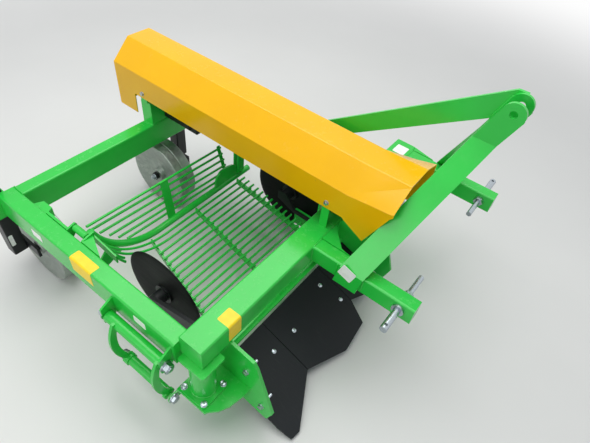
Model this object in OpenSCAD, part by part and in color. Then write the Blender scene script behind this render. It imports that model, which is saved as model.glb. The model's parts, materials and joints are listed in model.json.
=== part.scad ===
// Single-row potato digger with a side-discharging shaking sieve, for a tractor's three-point hitch.
// Working axes: X forward, Y to the left, Z up, measured from the middle of the lower hitch pins.
// Every module ends up on the library origin: middle of the overall box in plan, ground at Z = 0.

/* [Overall] */
// Height of the lower hitch pins above the ground
pin_height = 490; // [470:1:510]
// Front end of the hitch arms, ahead of the hitch pins
front_reach = 55; // [50:1:60]
// Outer end of the lower hitch pins, from the hitch centre
pin_reach = 515; // [500:1:520]
// Facets of round shapes
round_fn = 64; // [48:4:96]

/* [Frame tubes] */
// Depth of the front beam along X
front_beam_x = 100; // [90:1:110]
// Front face of the front beam, behind the pins
front_beam_at = 375; // [370:1:380]
// Top of the front beam and the hitch arms, above the pins
front_beam_top = 35; // [30:1:38]
// Height of the front beam
front_beam_z = 100; // [96:1:104]
// Right end of the front beam
front_beam_right = 983; // [975:1:990]
// Left end of the front beam
front_beam_left = 435; // [420:1:440]
// Height of the rear and side beams
rear_beam_z = 120; // [110:1:124]
// Top of the rear and side beams, above the pins
rear_beam_top = 4; // [0:1:8]
// Depth of the rear beam along X
rear_beam_x = 64; // [58:1:68]
// Front face of the rear beam, behind the pins
rear_beam_at = 1394; // [1390:1:1398]
// Width of the side beam
side_beam_y = 70; // [66:1:72]
// Outer face of the side beam, to the right of the centre
side_beam_at = 1006; // [1004:1:1008]
// Right end of the raised box on the rear beam
upstand_right = 290; // [280:1:296]
// Left end of the rear beam and its raised box
rear_beam_left = 42; // [42:1:50]
// Width of the spine tube under the cover
spine_y = 80; // [76:1:80]
// Height of the spine tube
spine_z = 90; // [80:1:94]
// Corner radius of the frame tubes
tube_corner = 8; // [4:1:10]

/* [Hitch] */
// Distance of each hitch arm's middle from the centre
arm_at = 377; // [370:1:380]
// Width of a hitch arm
arm_y = 60; // [56:1:64]
// Height of a hitch arm
arm_z = 80; // [76:1:84]
// Radius of the outer half of a hitch pin
pin_outer_r = 14; // [13.8:0.1:14.2]
// Radius of the inner half of a hitch pin
pin_inner_r = 11; // [10.8:0.1:11.2]
// Inner end of the hitch pins, from the centre
pin_inner_at = 225; // [220:1:232]
// Height of the top-link hole above the hitch pins
top_link_z = 630; // [620:1:640]
// Top-link hole ahead of the hitch pins
top_link_x = 8; // [4:1:12]
// Inner face of each mast bar at the top-link hole, from the centre
mast_gap = 30; // [28:1:32]
// Thickness of the mast bars
mast_t = 12; // [10:1:14]
// Radius of the top-link hole
top_link_r = 12.75; // [12.5:0.05:13]

/* [Digging gear] */
// Slope of the share, nose down
share_slope = 19; // [17:0.5:21]
// Thickness of the share plates
share_t = 10; // [8:1:12]
// Middle of the right side plate, to the right of the centre
right_plate_at = 850; // [845:1:855]
// Middle of the left side plate, to the left of the centre
left_plate_at = 20; // [16:1:24]
// Thickness of the side plates
side_plate_t = 12; // [10:1:12]
// Radius of the discs
disc_r = 207; // [200:1:210]
// Thickness of the discs
disc_t = 5; // [4:0.5:6]
// Disc axis behind the hitch pins
disc_at = 812; // [806:1:818]
// Middle of the right disc, to the right of the centre
right_disc_at = 775; // [772:1:776]
// Middle of the left disc, to the left of the centre
left_disc_at = 64; // [62:1:70]
// Radius of the disc axles
disc_axle_r = 15; // [14:0.5:16]

/* [Sieve] */
// Cross tube of the sieve behind the hitch pins
sieve_rear = 1085; // [1082:1:1088]
// Height of the cross tube's axis, below the pins
sieve_drop = 269; // [265:1:272]
// Radius of the cross tube
sieve_tube_r = 16; // [15:0.5:17]
// Radius of the cross tube's bend
bend_r = 325; // [315:1:335]
// Angle of the cross tube's bend
bend_angle = 73; // [70:0.5:75]
// Where the bend starts, to the right of the centre
bend_at = 560; // [555:1:565]
// Radius of a sieve rod
rod_r = 5.5; // [5:0.5:6]
// Distance between sieve rods along the bed
rod_pitch = 31.6; // [31:0.1:32]
// Number of straight sieve rods
rod_count = 15; // [10:1:15]
// Slope of the sieve bed, front end down
bed_slope = 10; // [8:0.5:11]
// Left side bar of the sieve, to the right of the centre
left_bar_at = 60; // [58:1:64]
// Left ends of the rods, to the right of the centre
rod_left = 26; // [24:1:30]
// Front end of the sieve behind the pins
sieve_front = 484; // [482:1:488]
// Where the fence's flat strap stands, to the right of the centre
strap_at = 478; // [440:1:500]

/* [Shaking drive] */
// Length of every rocker between its two pivots
rocker_len = 240; // [238:1:242]
// Front right rocker's upper pivot, to the right of the centre
front_rocker_y = 1037; // [1035:1:1038]
// Front right rocker's upper pivot, below the hitch pins
front_rocker_drop = 98; // [97:1:99]
// How far the front rocker's curved plates stand out beyond its pivots
rocker_bulge = 51; // [50:1:54]
// Rear right hanger's upper pivot, to the right of the centre
rear_hanger_y = 908; // [907:1:909]
// Rocker shaft's axis, to the right of the centre
rocker_shaft_y = 32; // [31:1:33]
// Rocker shaft's axis above the hitch pins
rocker_shaft_z = 8; // [7:1:9]
// Radius of the rocker shaft
rocker_shaft_r = 15; // [14:0.5:15]
// Drive shaft's axis, to the right of the centre
drive_y = 146; // [142:1:150]
// Drive shaft's axis above the hitch pins
drive_z = 200; // [195:1:205]
// Radius of the drive shaft
drive_r = 17.4; // [17:0.1:17.5]
// Running clearance of every turning fit
running_gap = 0.06; // [0.03:0.01:0.09]

/* [Cover] */
// Width of the cover
cover_y = 308; // [300:1:312]
// Right wall of the cover, to the right of the centre
cover_right = 300; // [296:1:304]
// Bottom edge of the cover's wall above the pins
cover_low = 139; // [136:1:142]
// Top of the cover's wall, where the slope starts
cover_mid = 251; // [246:1:256]
// Top of the cover above the pins
cover_top = 339; // [334:1:344]
// Width of the cover's flat top
cover_flat = 122; // [116:1:128]
// Sheet thickness of the cover
cover_t = 4; // [3:0.5:5]
// Where the cover's front bend is, behind the pins
cover_bend_at = 340; // [336:1:344]
// Front edge of the cover's right wall, behind the pins
cover_front = 166; // [164:1:170]
// Front edge of the cover's top, behind the pins
cover_lip = 157; // [154:1:160]
// How far the cover reaches behind the rear beam
cover_tail = 142; // [138:1:150]

/* [Wheels] */
// Wheel axis behind the hitch pins
wheel_at = 1409; // [1400:1:1412]
// Radius of a drum wheel over its raised ring
wheel_r = 181; // [176:1:181]
// Width of a drum wheel
wheel_w = 96; // [90:1:100]
// Middle of the left wheel, to the right of the centre
left_wheel_y = 245; // [240:1:250]
// Middle of the right wheel, to the right of the centre
right_wheel_y = 912; // [908:1:914]
// Radius of a wheel axle
axle_r = 12.5; // [12:0.5:13]
// Side of a square wheel post
post_side = 60; // [56:1:60]
// Middle of the left post, to the right of the centre
left_post_y = 70; // [68:1:72]
// Middle of the right post, to the right of the centre
right_post_y = 1011; // [1010:1:1012]

/* [Hidden] */
$fn = round_fn;
rear_beam_back = rear_beam_at + rear_beam_x;
rear_reach = rear_beam_back + cover_tail;
right_reach = front_rocker_y + rocker_bulge;
mid_x = (front_reach - rear_reach) / 2;
mid_y = (pin_reach - right_reach) / 2;
green = "#35c845";
black = "#1b1f1f";
zinc = "#c9ced2";
steel = "#9aa19f";
yellow = "#f2c21c";
front_beam_low = front_beam_top - front_beam_z;
front_beam_back = front_beam_at + front_beam_x;
rear_beam_low = rear_beam_top - rear_beam_z;
side_beam_in = side_beam_at - side_beam_y;
spine_right = spine_y - rear_beam_left;
box_x = 160;
box_front = rear_beam_at - box_x;
disc_z = disc_r - pin_height;
shaft_r = drive_r + 1.6;
axle_z = wheel_r - pin_height;
post_x = rear_beam_back + 5 + post_side / 2;
disc_plate_gap = 2;
fence_x = sieve_rear + sieve_tube_r + rod_r + 0.02;
seat = rod_r / cos(bed_slope) + 0.02;
bar_rear = sieve_rear - sqrt(sieve_tube_r * sieve_tube_r - seat * seat);
bar_taper = 0.22;
ear_front = 490;
ear_back = 785;
ear_t = 8;
lug_pin_r = 8;
lug_t = 10;
post_tube_x = -408;
post_tube_y = -956;
rear_arm_at = sieve_rear;
front_arm_at = 558;
plate_bottom = -290;

// The rear fence's rods from the top down: right end's y and z, then the left end's x and z.
FENCE_RIGHT_Y = 0;
FENCE_RIGHT_Z = 1;
FENCE_LEFT_X = 2;
FENCE_LEFT_Z = 3;
FENCE = [[-868, -27, -1150, -100], [-855, -56, -1139, -130], [-824, -98, -1128, -160],
    [-788, -143, -1118, -190], [-752, -185, -1108, -220], [-715, -224, -1100, -244]];
fence_left = -95;

// Moves a shape from the hitch frame to the library origin.
module place() {
    translate([-mid_x, -mid_y, pin_height])
        children();
}

// Rounded rectangle with true corner arcs, centred.
module rounded_rect(w, h, r) {
    square([w - 2 * r, h], center = true);
    square([w, h - 2 * r], center = true);
    for (sx = [-1, 1], sy = [-1, 1])
        translate([sx * (w / 2 - r), sy * (h / 2 - r)])
            circle(r = r);
}

// Closed rectangular tube along X, between two X places, with its Y and Z limits.
module tube_x(x0, x1, y0, y1, z0, z1, r = tube_corner) {
    translate([x0, (y0 + y1) / 2, (z0 + z1) / 2])
        rotate([90, 0, 90])
            linear_extrude(height = x1 - x0)
                rounded_rect(y1 - y0, z1 - z0, r);
}

// Closed rectangular tube along Y.
module tube_y(x0, x1, y0, y1, z0, z1, r = tube_corner) {
    translate([(x0 + x1) / 2, y1, (z0 + z1) / 2])
        rotate([90, 0, 0])
            linear_extrude(height = y1 - y0)
                rounded_rect(x1 - x0, z1 - z0, r);
}

// Box between two corners.
module block(x0, x1, y0, y1, z0, z1) {
    translate([x0, y0, z0])
        cube([x1 - x0, y1 - y0, z1 - z0]);
}

// Round bar along X.
module round_x(x0, x1, y, z, r) {
    translate([x0, y, z])
        rotate([0, 90, 0])
            cylinder(r = r, h = x1 - x0);
}

// Round bar along Y.
module round_y(x, y0, y1, z, r) {
    translate([x, y1, z])
        rotate([90, 0, 0])
            cylinder(r = r, h = y1 - y0);
}

// Plate in the X-Z plane from a list of [x, z] corners, centred on y.
module plate_xz(points, y, t) {
    translate([0, y + t / 2, 0])
        rotate([90, 0, 0])
            linear_extrude(height = t)
                polygon(points);
}

// Plate in the Y-Z plane from a list of [y, z] corners, starting at x.
module plate_yz(points, x, t) {
    translate([x, 0, 0])
        rotate([90, 0, 90])
            linear_extrude(height = t)
                polygon(points);
}

// Hexagonal nut along Y.
module nut_y(x, y0, y1, z, across) {
    translate([x, y1, z])
        rotate([90, 0, 0])
            linear_extrude(height = y1 - y0)
                hexagon(across);
}

// Hexagonal nut along X.
module nut_x(x0, x1, y, z, across) {
    translate([x0, y, z])
        rotate([90, 0, 90])
            linear_extrude(height = x1 - x0)
                hexagon(across);
}

// Hexagon by its width across flats.
module hexagon(across) {
    polygon([for (a = [0:60:300]) [across / sqrt(3) * cos(a), across / sqrt(3) * sin(a)]]);
}

// Front cross beam with its welded end caps.
module front_beam() {
    place() color(green)
        tube_y(-front_beam_back, -front_beam_at, -front_beam_right, front_beam_left,
            front_beam_low, front_beam_top);
}

// Rear cross beam, with the raised box that carries the drive.
module rear_beam() {
    place() color(green) {
        tube_y(-rear_beam_back, -rear_beam_at, -side_beam_in, rear_beam_left, rear_beam_low, rear_beam_top);
        tube_y(-rear_beam_back, -rear_beam_at, -upstand_right, rear_beam_left, rear_beam_top - 4,
            rear_beam_top + 116);
    }
}

// Right side beam between the front and rear beams.
module side_beam() {
    place() color(green)
        tube_x(-rear_beam_back, -front_beam_back, -side_beam_at, -side_beam_in, rear_beam_low, rear_beam_top);
}

// Spine tube under the cover, from the front beam to the raised box on the rear beam.
module spine() {
    place() color(green)
        tube_x(-rear_beam_at, -front_beam_back + 38, -spine_right, rear_beam_left, front_beam_top,
            front_beam_top + spine_z);
}

// Corner plates beside the hitch arms, and small tabs on the side beam's inner face.
module gussets() {
    place() color(green) {
        translate([-front_beam_at, arm_at + arm_y / 2, front_beam_top - 12])
            linear_extrude(height = 12)
                polygon([[0, 0], [105, 0], [0, front_beam_left - arm_at - arm_y / 2 - 2]]);
        translate([-front_beam_at, -arm_at + arm_y / 2, front_beam_top - 12])
            linear_extrude(height = 12)
                polygon([[0, 0], [128, 0], [102, 3], [85, 7], [57, 35], [29, 63], [8, 88], [0, 122]]);
        translate([-1289, -side_beam_in, rear_beam_top - 54])
            linear_extrude(height = 44)
                polygon([[-42, 0], [42, 0], [26, 34], [-26, 34]]);
        block(-1246, -1124, -side_beam_in, -side_beam_in + 10, rear_beam_top - 16, rear_beam_top);
    }
}

// Two hitch arms with the holes that hold the lower pins.
module hitch_arms() {
    place() color(green)
        for (side = [-1, 1])
            difference() {
                tube_x(-front_beam_at, front_reach, side * arm_at - arm_y / 2, side * arm_at + arm_y / 2,
                    front_beam_top - arm_z, front_beam_top);
                round_y(0, side * arm_at - arm_y, side * arm_at + arm_y, 0, pin_outer_r);
            }
}

// Stepped lower hitch pins with their collars, nuts and cross holes.
module lower_pins() {
    place() color(zinc)
        for (side = [-1, 1])
            mirror([0, side > 0 ? 0 : 1, 0])
                difference() {
                    union() {
                        round_y(0, arm_at - arm_y / 2, pin_reach, 0, pin_outer_r);
                        round_y(0, pin_inner_at, arm_at - arm_y / 2, 0, pin_inner_r);
                        round_y(0, arm_at + arm_y / 2, arm_at + arm_y / 2 + 10, 0, 24);
                        nut_y(0, arm_at - arm_y / 2 - 22, arm_at - arm_y / 2, 0, 36);
                    }
                    translate([0, pin_reach - 16, -30])
                        cylinder(r = 6, h = 60);
                }
}

// Two mast bars: a foot on each hitch arm, a leaning strap, and parallel ends with the top-link hole.
module mast_bars() {
    foot_y = arm_at + arm_y / 2;
    place() color(green)
        for (side = [-1, 1])
            mirror([0, side > 0 ? 0 : 1, 0])
                difference() {
                    union() {
                        plate_xz([[-263, front_beam_top - arm_z - 8], [-164, front_beam_top - arm_z - 8],
                            [-150, front_beam_top], [-249, front_beam_top]], foot_y + mast_t / 2, mast_t);
                        hull() {
                            plate_xz([[-249, front_beam_top], [-150, front_beam_top],
                                [-149, front_beam_top + 2], [-248, front_beam_top + 2]],
                                foot_y + mast_t / 2, mast_t);
                            plate_xz([[-78, 508], [4, 508], [5, 510], [-77, 510]], mast_gap + mast_t / 2, mast_t);
                        }
                        plate_xz([[-78, 508], [4, 508], [46, top_link_z - 12], [-26, top_link_z + 18]],
                            mast_gap + mast_t / 2, mast_t);
                        round_y(top_link_x, mast_gap, mast_gap + mast_t, top_link_z, 38);
                    }
                    round_y(top_link_x, mast_gap - 5, mast_gap + mast_t + 5, top_link_z, top_link_r);
                }
}

// Flat brace from the left mast bar's upper end down to the spine's left face.
module rear_brace() {
    place() color(green)
        plate_xz([[-35, 659], [-35, 563], [-790, 72], [-850, 109]], mast_gap + mast_t * 1.5 + 0.02, mast_t);
}

// Round post under the right end of the front beam, with its head plate and square bolted flange.
module right_post() {
    place() color(green)
        translate([post_tube_x, post_tube_y, 0]) {
            translate([0, 0, -276])
                cylinder(r = 46, h = 276 + front_beam_low - 4);
            translate([0, 0, front_beam_low - 10])
                linear_extrude(height = 10)
                    rounded_rect(116, 104, 10);
            translate([0, 0, -278])
                linear_extrude(height = 12)
                    difference() {
                        rounded_rect(124, 124, 12);
                        for (sx = [-1, 1], sy = [-1, 1])
                            translate([sx * 48, sy * 48])
                                circle(r = 7);
                    }
        }
}

// Mating plate under the post's flange, which ties the post to the right side plate.
module post_bracket() {
    place() color(green)
        translate([0, 0, plate_bottom])
            linear_extrude(height = 12)
                difference() {
                    polygon([[-475, -1022], [-341, -1022], [-333, -1008], [-309, -985], [-291, -948], [-280, -892],
                        [-278, -right_plate_at - side_plate_t / 2], [-475, -right_plate_at - side_plate_t / 2]]);
                    for (sx = [-1, 1], sy = [-1, 1])
                        translate([post_tube_x + sx * 48, post_tube_y + sy * 48])
                            circle(r = 7);
                }
}

// Two side plates that hang from the front beam and hold the share, with the strip between them.
module side_plates() {
    nose = [[-272, -82], [-255, -112], [-172, -345], [-196, -420], [-306, -400]];
    place() color(green) {
        plate_xz(concat([[-470, front_beam_low], [-375, front_beam_low]], nose, [[-470, -372]]),
            -right_plate_at, side_plate_t);
        plate_xz(concat([[-470, front_beam_low], [-375, front_beam_low]], nose,
            [[-470, -420], [-738, -420], [-738, -325], [-640, -325], [-470, -300]]),
            left_plate_at, side_plate_t);
        block(-376, -362, -right_plate_at, left_plate_at, front_beam_low - 25, front_beam_low - 13);
    }
}

// Transverse bar that ties the side plates under the share.
module share_bar() {
    place() color(green)
        translate([-330, 0, -399])
            rotate([0, share_slope, 0])
                block(-30, 30, -right_plate_at + side_plate_t / 2, left_plate_at - side_plate_t / 2, -18, 0);
}

// Three share plates side by side on the share bar.
module share_plates() {
    edge = right_plate_at - side_plate_t / 2;
    place() color(black)
        translate([-330, 0, -399])
            rotate([0, share_slope, 0])
                linear_extrude(height = share_t) {
                    polygon([[-125, -edge + 1], [195, -edge + 1], [258, -834], [263, -792], [140, -590 - 1],
                        [-125, -590 - 1]]);
                    polygon([[-125, -589 + 1], [140, -589 + 1], [214, -400], [196, -238], [96, -196],
                        [-125, -196]]);
                    polygon([[-125, -194], [90, -194], [120, -120], [110, left_plate_at - 8],
                        [-125, left_plate_at - 8]]);
                }
}

// Arms and stub axles that carry the two discs.
module disc_arms() {
    place() color(black) {
        plate_xz([[-478, -160], [-420, -150], [-420, -215], [-478, -225], [-822, disc_z - 34],
            [-846, disc_z], [-822, disc_z + 34]], -right_plate_at + side_plate_t + 2, side_plate_t + 4);
        round_y(-disc_at, -right_plate_at + side_plate_t, -right_disc_at + 30, disc_z, disc_axle_r);
        nut_y(-disc_at, -right_disc_at + 14, -right_disc_at + 26, disc_z, 42);
        plate_xz([[-640, -345], [-738, -345], [-846, disc_z - 20], [-846, disc_z + 24], [-800, disc_z + 34],
            [-738, -325], [-640, -325]], left_plate_at - side_plate_t, side_plate_t);
        round_y(-disc_at, left_plate_at - side_plate_t, left_disc_at + 30, disc_z, disc_axle_r);
        nut_y(-disc_at, left_disc_at + 14, left_disc_at + 26, disc_z, 42);
    }
}

// Section of the cover as [y, z] corners, grown inwards by inset; left_mid is the left shoulder's height.
function cover_section(inset, low, mid, top, left_mid) = [
    [-cover_right + inset, low],
    [-cover_right + inset, mid - inset * 0.4],
    [-cover_right + (cover_y - cover_flat) / 2 + inset * 0.4, top - inset],
    [-cover_right + (cover_y + cover_flat) / 2 - inset * 0.4, top - inset],
    [-cover_right + cover_y - inset, left_mid - inset * 0.4],
    [-cover_right + cover_y - inset, low]
];

// Slice of the cover's section at x.
module cover_slice(x, inset, low, mid, top, left_mid) {
    plate_yz(cover_section(inset, low, mid, top, left_mid), x, 1);
}

// Flared front of the cover, solid, grown inwards by inset and reaching ahead by extra.
module cover_flare(inset, low_drop, extra) {
    hull() {
        cover_slice(-cover_bend_at - 1 - extra, inset, cover_low - low_drop, cover_mid, cover_top, cover_mid);
        cover_slice(-240, inset, 84 - low_drop, 264, cover_top + 3, 292);
        cover_slice(-cover_front - 1 + extra, inset, 255 - low_drop, 272, cover_top + 5, 312);
        plate_yz([[-207 + inset, cover_top + 5 - inset], [-85 - inset, cover_top + 6 - inset],
            [-cover_right + cover_y - inset, 315 - inset], [-cover_right + cover_y - inset, 255 - low_drop],
            [-207 + inset, 320 - low_drop]], -cover_lip - 1 + extra, 1);
    }
}

// Folded sheet cover with its deeper rear skirt and flared front.
module cover() {
    place() color(yellow)
        difference() {
            union() {
                plate_yz(cover_section(0, cover_low, cover_mid, cover_top, cover_mid), -rear_reach,
                    rear_reach - cover_bend_at);
                plate_yz(cover_section(0, 39, cover_mid, cover_top, cover_mid), -rear_reach, 118);
                cover_flare(0, 0, 0);
            }
            plate_yz(cover_section(cover_t, 0, cover_mid, cover_top, cover_mid), -rear_reach + cover_t,
                rear_reach - cover_t - cover_bend_at - 1);
            cover_flare(cover_t, 139, 2);
        }
}

// Straps that hold the cover to the front beam and the raised box.
module cover_brackets() {
    place() color(green) {
        for (y = [-cover_right + cover_t, -cover_right + cover_y - cover_t - 6]) {
            block(-430, -397, y, y + 6, front_beam_top, 186);
            block(-rear_beam_back + 12, -rear_beam_at - 12, y, y + 6, rear_beam_top + 116, 182);
        }
        block(-rear_beam_back + 12, -rear_beam_at - 12, -cover_right + cover_t + 6,
            -cover_right + cover_y - cover_t - 6, rear_beam_top + 116, rear_beam_top + 122);
    }
}

// Plates ahead of the front beam that stiffen the drive's front bearing.
module bearing_bracket() {
    place() color(green) {
        for (y = [-214, -60])
            plate_xz([[-375, 30], [-345, 66], [-300, 66], [-252, 20], [-285, -60], [-375, -60]], y, 10);
        block(-375, -365, -209, -65, -60, front_beam_top);
    }
}

// Bearing pedestal of the drive shaft on the front beam.
module shaft_bearings() {
    place() color(black)
        difference() {
            union() {
                block(-462, -402, -drive_y - 60, -drive_y + 60, front_beam_top, front_beam_top + 16);
                block(-455, -409, -drive_y - 38, -drive_y + 38, front_beam_top + 15, drive_z);
                round_x(-460, -404, -drive_y, drive_z, 46);
            }
            round_x(-480, -390, -drive_y, drive_z, shaft_r + running_gap);
        }
}

// Closed cast box that turns the shaft's rotation into the rocker shaft's swing.
module shaker_box() {
    place() color(black)
        difference() {
            union() {
                tube_x(-rear_beam_at, -box_front, -172, 4, -32, front_beam_top - 1, 10);
                tube_x(-rear_beam_at, -box_front, -drive_y - 70, -spine_right - 1, front_beam_top - 20, 268, 12);
            }
            round_x(-box_front - 40, -box_front + 10, -drive_y, drive_z, shaft_r + running_gap);
            round_x(-box_front - 40, -box_front + 10, -rocker_shaft_y, rocker_shaft_z,
                rocker_shaft_r + running_gap);
        }
}

// Bearing blocks of the rocker shaft under the spine.
module rocker_bearings() {
    place() color(green)
        for (x = [-1170, -640])
            difference() {
                union() {
                    block(x - 16, x + 16, -spine_right, -rocker_shaft_y + 26, rocker_shaft_z, front_beam_top);
                    round_x(x - 16, x + 16, -rocker_shaft_y, rocker_shaft_z, 26);
                }
                round_x(x - 30, x + 30, -rocker_shaft_y, rocker_shaft_z, rocker_shaft_r + running_gap);
            }
}

// Ears on the side beam's outer face, with the bolt that carries the front rocker.
module rocker_ears() {
    place() color(green) {
        for (x = [-ear_back, -ear_front - ear_t])
            plate_yz([[-side_beam_at, -25], [-side_beam_at - 50, -50], [-side_beam_at - 52, -62],
                [-side_beam_at - 49, -128], [-side_beam_at - 34, -136], [-side_beam_at, rear_beam_low]], x, ear_t);
        round_x(-ear_back - 6, -ear_front + 8, -front_rocker_y, -front_rocker_drop, 10);
        nut_x(-ear_front, -ear_front + 12, -front_rocker_y, -front_rocker_drop, 30);
        nut_x(-ear_back - 12, -ear_back, -front_rocker_y, -front_rocker_drop, 30);
    }
}

// Bracket and pin on the side beam's inner face, for the rear hanger.
module hanger_bracket() {
    tip = -rear_hanger_y + 14;
    place() color(green) {
        plate_yz([[-side_beam_in, 4], [tip - 6, 14], [tip, 6], [tip, -12], [-side_beam_in, -64]], -1122, ear_t);
        plate_yz([[-side_beam_in, 4], [tip + 8, 16], [tip + 8, -20], [-side_beam_in, -64]], -1034, ear_t);
        round_x(-1122, -1026, -rear_hanger_y, 0, 8);
        translate([0, 0, -6])
            linear_extrude(height = 10)
                polygon([[-1026, -side_beam_in], [-925, -side_beam_in], [-1026, tip + 4]]);
    }
}

// Square sockets on the rear beam, in which the wheel posts slide, with their clamp screws.
module wheel_sockets() {
    place() color(green)
        for (y = [-left_post_y, -right_post_y])
            difference() {
                union() {
                    block(-post_x - post_side / 2 - 5, -rear_beam_back, y - post_side / 2 - 5,
                        y + post_side / 2 + 5, rear_beam_low, rear_beam_top);
                    round_x(-post_x - post_side / 2 - 26, -post_x - post_side / 2 - 5, y, -56, 12);
                }
                block(-post_x - post_side / 2 - 0.4, -post_x + post_side / 2 + 0.4, y - post_side / 2 - 0.4,
                    y + post_side / 2 + 0.4, rear_beam_low - 5, rear_beam_top + 5);
            }
}

// Drive shaft with its power take-off stub and coupling sleeves.
module drive_shaft() {
    place() color(steel) {
        round_x(-box_front - 30, -390, -drive_y, drive_z, shaft_r);
        round_x(-392, -185, -drive_y, drive_z, drive_r);
        round_x(-398, -380, -drive_y, drive_z, 30);
        round_x(-484, -466, -drive_y, drive_z, 30);
        round_x(-box_front + 4, -box_front + 60, -drive_y, drive_z, 34);
    }
}

// Rocker shaft that comes out of the shaker box.
module rocker_shaft() {
    place() color(steel)
        round_x(-box_front - 30, -front_arm_at + 24, -rocker_shaft_y, rocker_shaft_z, rocker_shaft_r);
}

// Two forked arms clamped on the rocker shaft: a hub and two flat bars with bores at the foot.
module rocker_arms() {
    foot = rocker_shaft_z - rocker_len;
    place() color(green)
        for (at = [rear_arm_at, front_arm_at])
            difference() {
                union() {
                    round_x(-at - 19, -at + 19, -rocker_shaft_y, rocker_shaft_z, 22);
                    for (x = [-at - 17, -at + 9]) {
                        block(x, x + 8, -rocker_shaft_y - 21, -rocker_shaft_y + 21, foot, rocker_shaft_z);
                        round_x(x, x + 8, -rocker_shaft_y, foot, 21);
                    }
                }
                block(-at - 30, -at + 30, -rocker_shaft_y - 40, -rocker_shaft_y + 40, foot - 40, foot - 15);
                round_x(-at - 30, -at + 30, -rocker_shaft_y, foot, lug_pin_r + running_gap);
                round_x(-at - 30, -at + 30, -rocker_shaft_y, rocker_shaft_z, rocker_shaft_r);
            }
}

// Bent part of a cross rod or tube: an arc in the Y-Z plane that turns up to the right.
module bend_up(x, r, angle, start = 0) {
    translate([x, -bend_at, bend_r - sieve_drop])
        rotate([90, 0, -90])
            rotate([0, 0, start - 90])
                rotate_extrude(angle = angle - start)
                    translate([bend_r, 0])
                        circle(r = r);
}

// Cross tube of the sieve, bent up to the right, with the lug and pin for the rear rocker arm.
module sieve_tube() {
    foot = rocker_shaft_z - rocker_len;
    place() color(green) {
        round_y(-sieve_rear, -bend_at, 40, -sieve_drop, sieve_tube_r);
        bend_up(-sieve_rear, sieve_tube_r, bend_angle);
        plate_yz([[-205, -sieve_drop + 8], [-200, -215], [-189, -192], [-170, -174], [-150, -169], [-110, -171],
            [-82, -179], [-60, -194], [-20, -216], [-11, -232], [-11, -sieve_drop + 8]],
            -sieve_rear - lug_t / 2, lug_t);
        round_x(-sieve_rear - 24, -sieve_rear + 24, -rocker_shaft_y, foot, lug_pin_r);
    }
}

// Height of the bed rods' axis at a distance behind the pins.
function bed_z(at) = -sieve_drop - (sieve_rear - at) * tan(bed_slope);

// Side, middle and front bars that carry the rods.
module sieve_bars() {
    place() color(green) {
        for (bar = [[bend_at + 60, bar_taper], [350, 0.09], [left_bar_at, 0]])
            multmatrix([[1, 0, 0, 0], [-bar[1], 1, 0, -bar[0] - bar[1] * sieve_rear], [0, 0, 1, 0],
                [0, 0, 0, 1]])
                plate_xz([[-bar_rear, bed_z(bar_rear) - seat], [-sieve_front, bed_z(sieve_front) - seat],
                    [-sieve_front, bed_z(sieve_front) - seat - 32], [-bar_rear, bed_z(bar_rear) - seat - 32]],
                    0, 8);
        block(-sieve_front - 32, -sieve_front - 4, -bend_at - 184, -left_bar_at + 30, bed_z(sieve_front + 18) - 40,
            bed_z(sieve_front + 18) - 18);
    }
}

// Bed rods: straight ones ahead, and bent ones behind whose upper ends meet the right side bar.
module sieve_rods() {
    slope = tan(bed_slope);
    place() color(green) {
        for (i = [0:rod_count - 1]) {
            at = sieve_rear - 100 - i * rod_pitch;
            round_y(-at, -bend_at - 60 - (sieve_rear - at) * bar_taper - 12, -rod_left, bed_z(at), rod_r);
        }
        for (dx = [38, 68])
            translate([0, 0, -dx * slope]) {
                round_y(-sieve_rear + dx, -bend_at, -rod_left, -sieve_drop, rod_r);
                bend_up(-sieve_rear + dx, rod_r, bend_angle - 2);
            }
        for (i = [0:1])
            translate([0, 0, -(100 + i * rod_pitch) * slope])
                bend_up(-sieve_rear + 100 + i * rod_pitch, rod_r, bend_angle - 2, 52 + i * 5);
        multmatrix([[1, 0, 0, 0], [0, 1, 0, 0], [-slope, 0, 1, -slope * sieve_rear], [0, 0, 0, 1]])
            block(-sieve_rear + sieve_tube_r + 0.02, -sieve_rear + 144, -bend_at - 312, -bend_at - 306, -80, -42);
    }
}

// Point of fence rod i at y, as [x, z].
function fence_point(rod, y) =
    let (t = (y - rod[FENCE_RIGHT_Y]) / (fence_left - rod[FENCE_RIGHT_Y]), x0 = -fence_x)
        [x0 + t * (rod[FENCE_LEFT_X] - x0), rod[FENCE_RIGHT_Z] + t * (rod[FENCE_LEFT_Z] - rod[FENCE_RIGHT_Z])];

// Round bar between two points.
module round_bar(from, to, r) {
    run = to - from;
    translate(from)
        rotate([0, acos(run[2] / norm(run)), atan2(run[1], run[0])])
            cylinder(r = r, h = norm(run));
}

// Flat strap across the fence rods at y, lying at x_off from their middles and ending on the tube.
module fence_strap(y, width, x_off, foot_rear, foot_front) {
    face = [for (rod = FENCE) fence_point(rod, y) + [x_off, 0]];
    last = len(FENCE) - 1;
    plate_xz(concat([face[0] + [0, 9]], face, [foot_rear, foot_front],
        [for (i = [last:-1:0]) face[i] + [6, 0]], [face[0] + [6, 9]]), y, width);
}

// Rear fence: rods that fan out from the bent tube to the left, tied by two flat straps.
module sieve_fence() {
    place() color(green) {
        for (rod = FENCE)
            round_bar([-fence_x, rod[FENCE_RIGHT_Y], rod[FENCE_RIGHT_Z]],
                [rod[FENCE_LEFT_X], fence_left, rod[FENCE_LEFT_Z]], rod_r);
        fence_strap(-strap_at, 42, rod_r - 1.5, [-sieve_rear - 12, -sieve_drop + 11.2],
            [-sieve_rear - 6, -sieve_drop + 15.5]);
        fence_strap(fence_left - 9, 18, -rod_r - 4.5, [-sieve_rear - sieve_tube_r - 6, -sieve_drop],
            [-sieve_rear - sieve_tube_r - 0.02, -sieve_drop]);
    }
}

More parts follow.
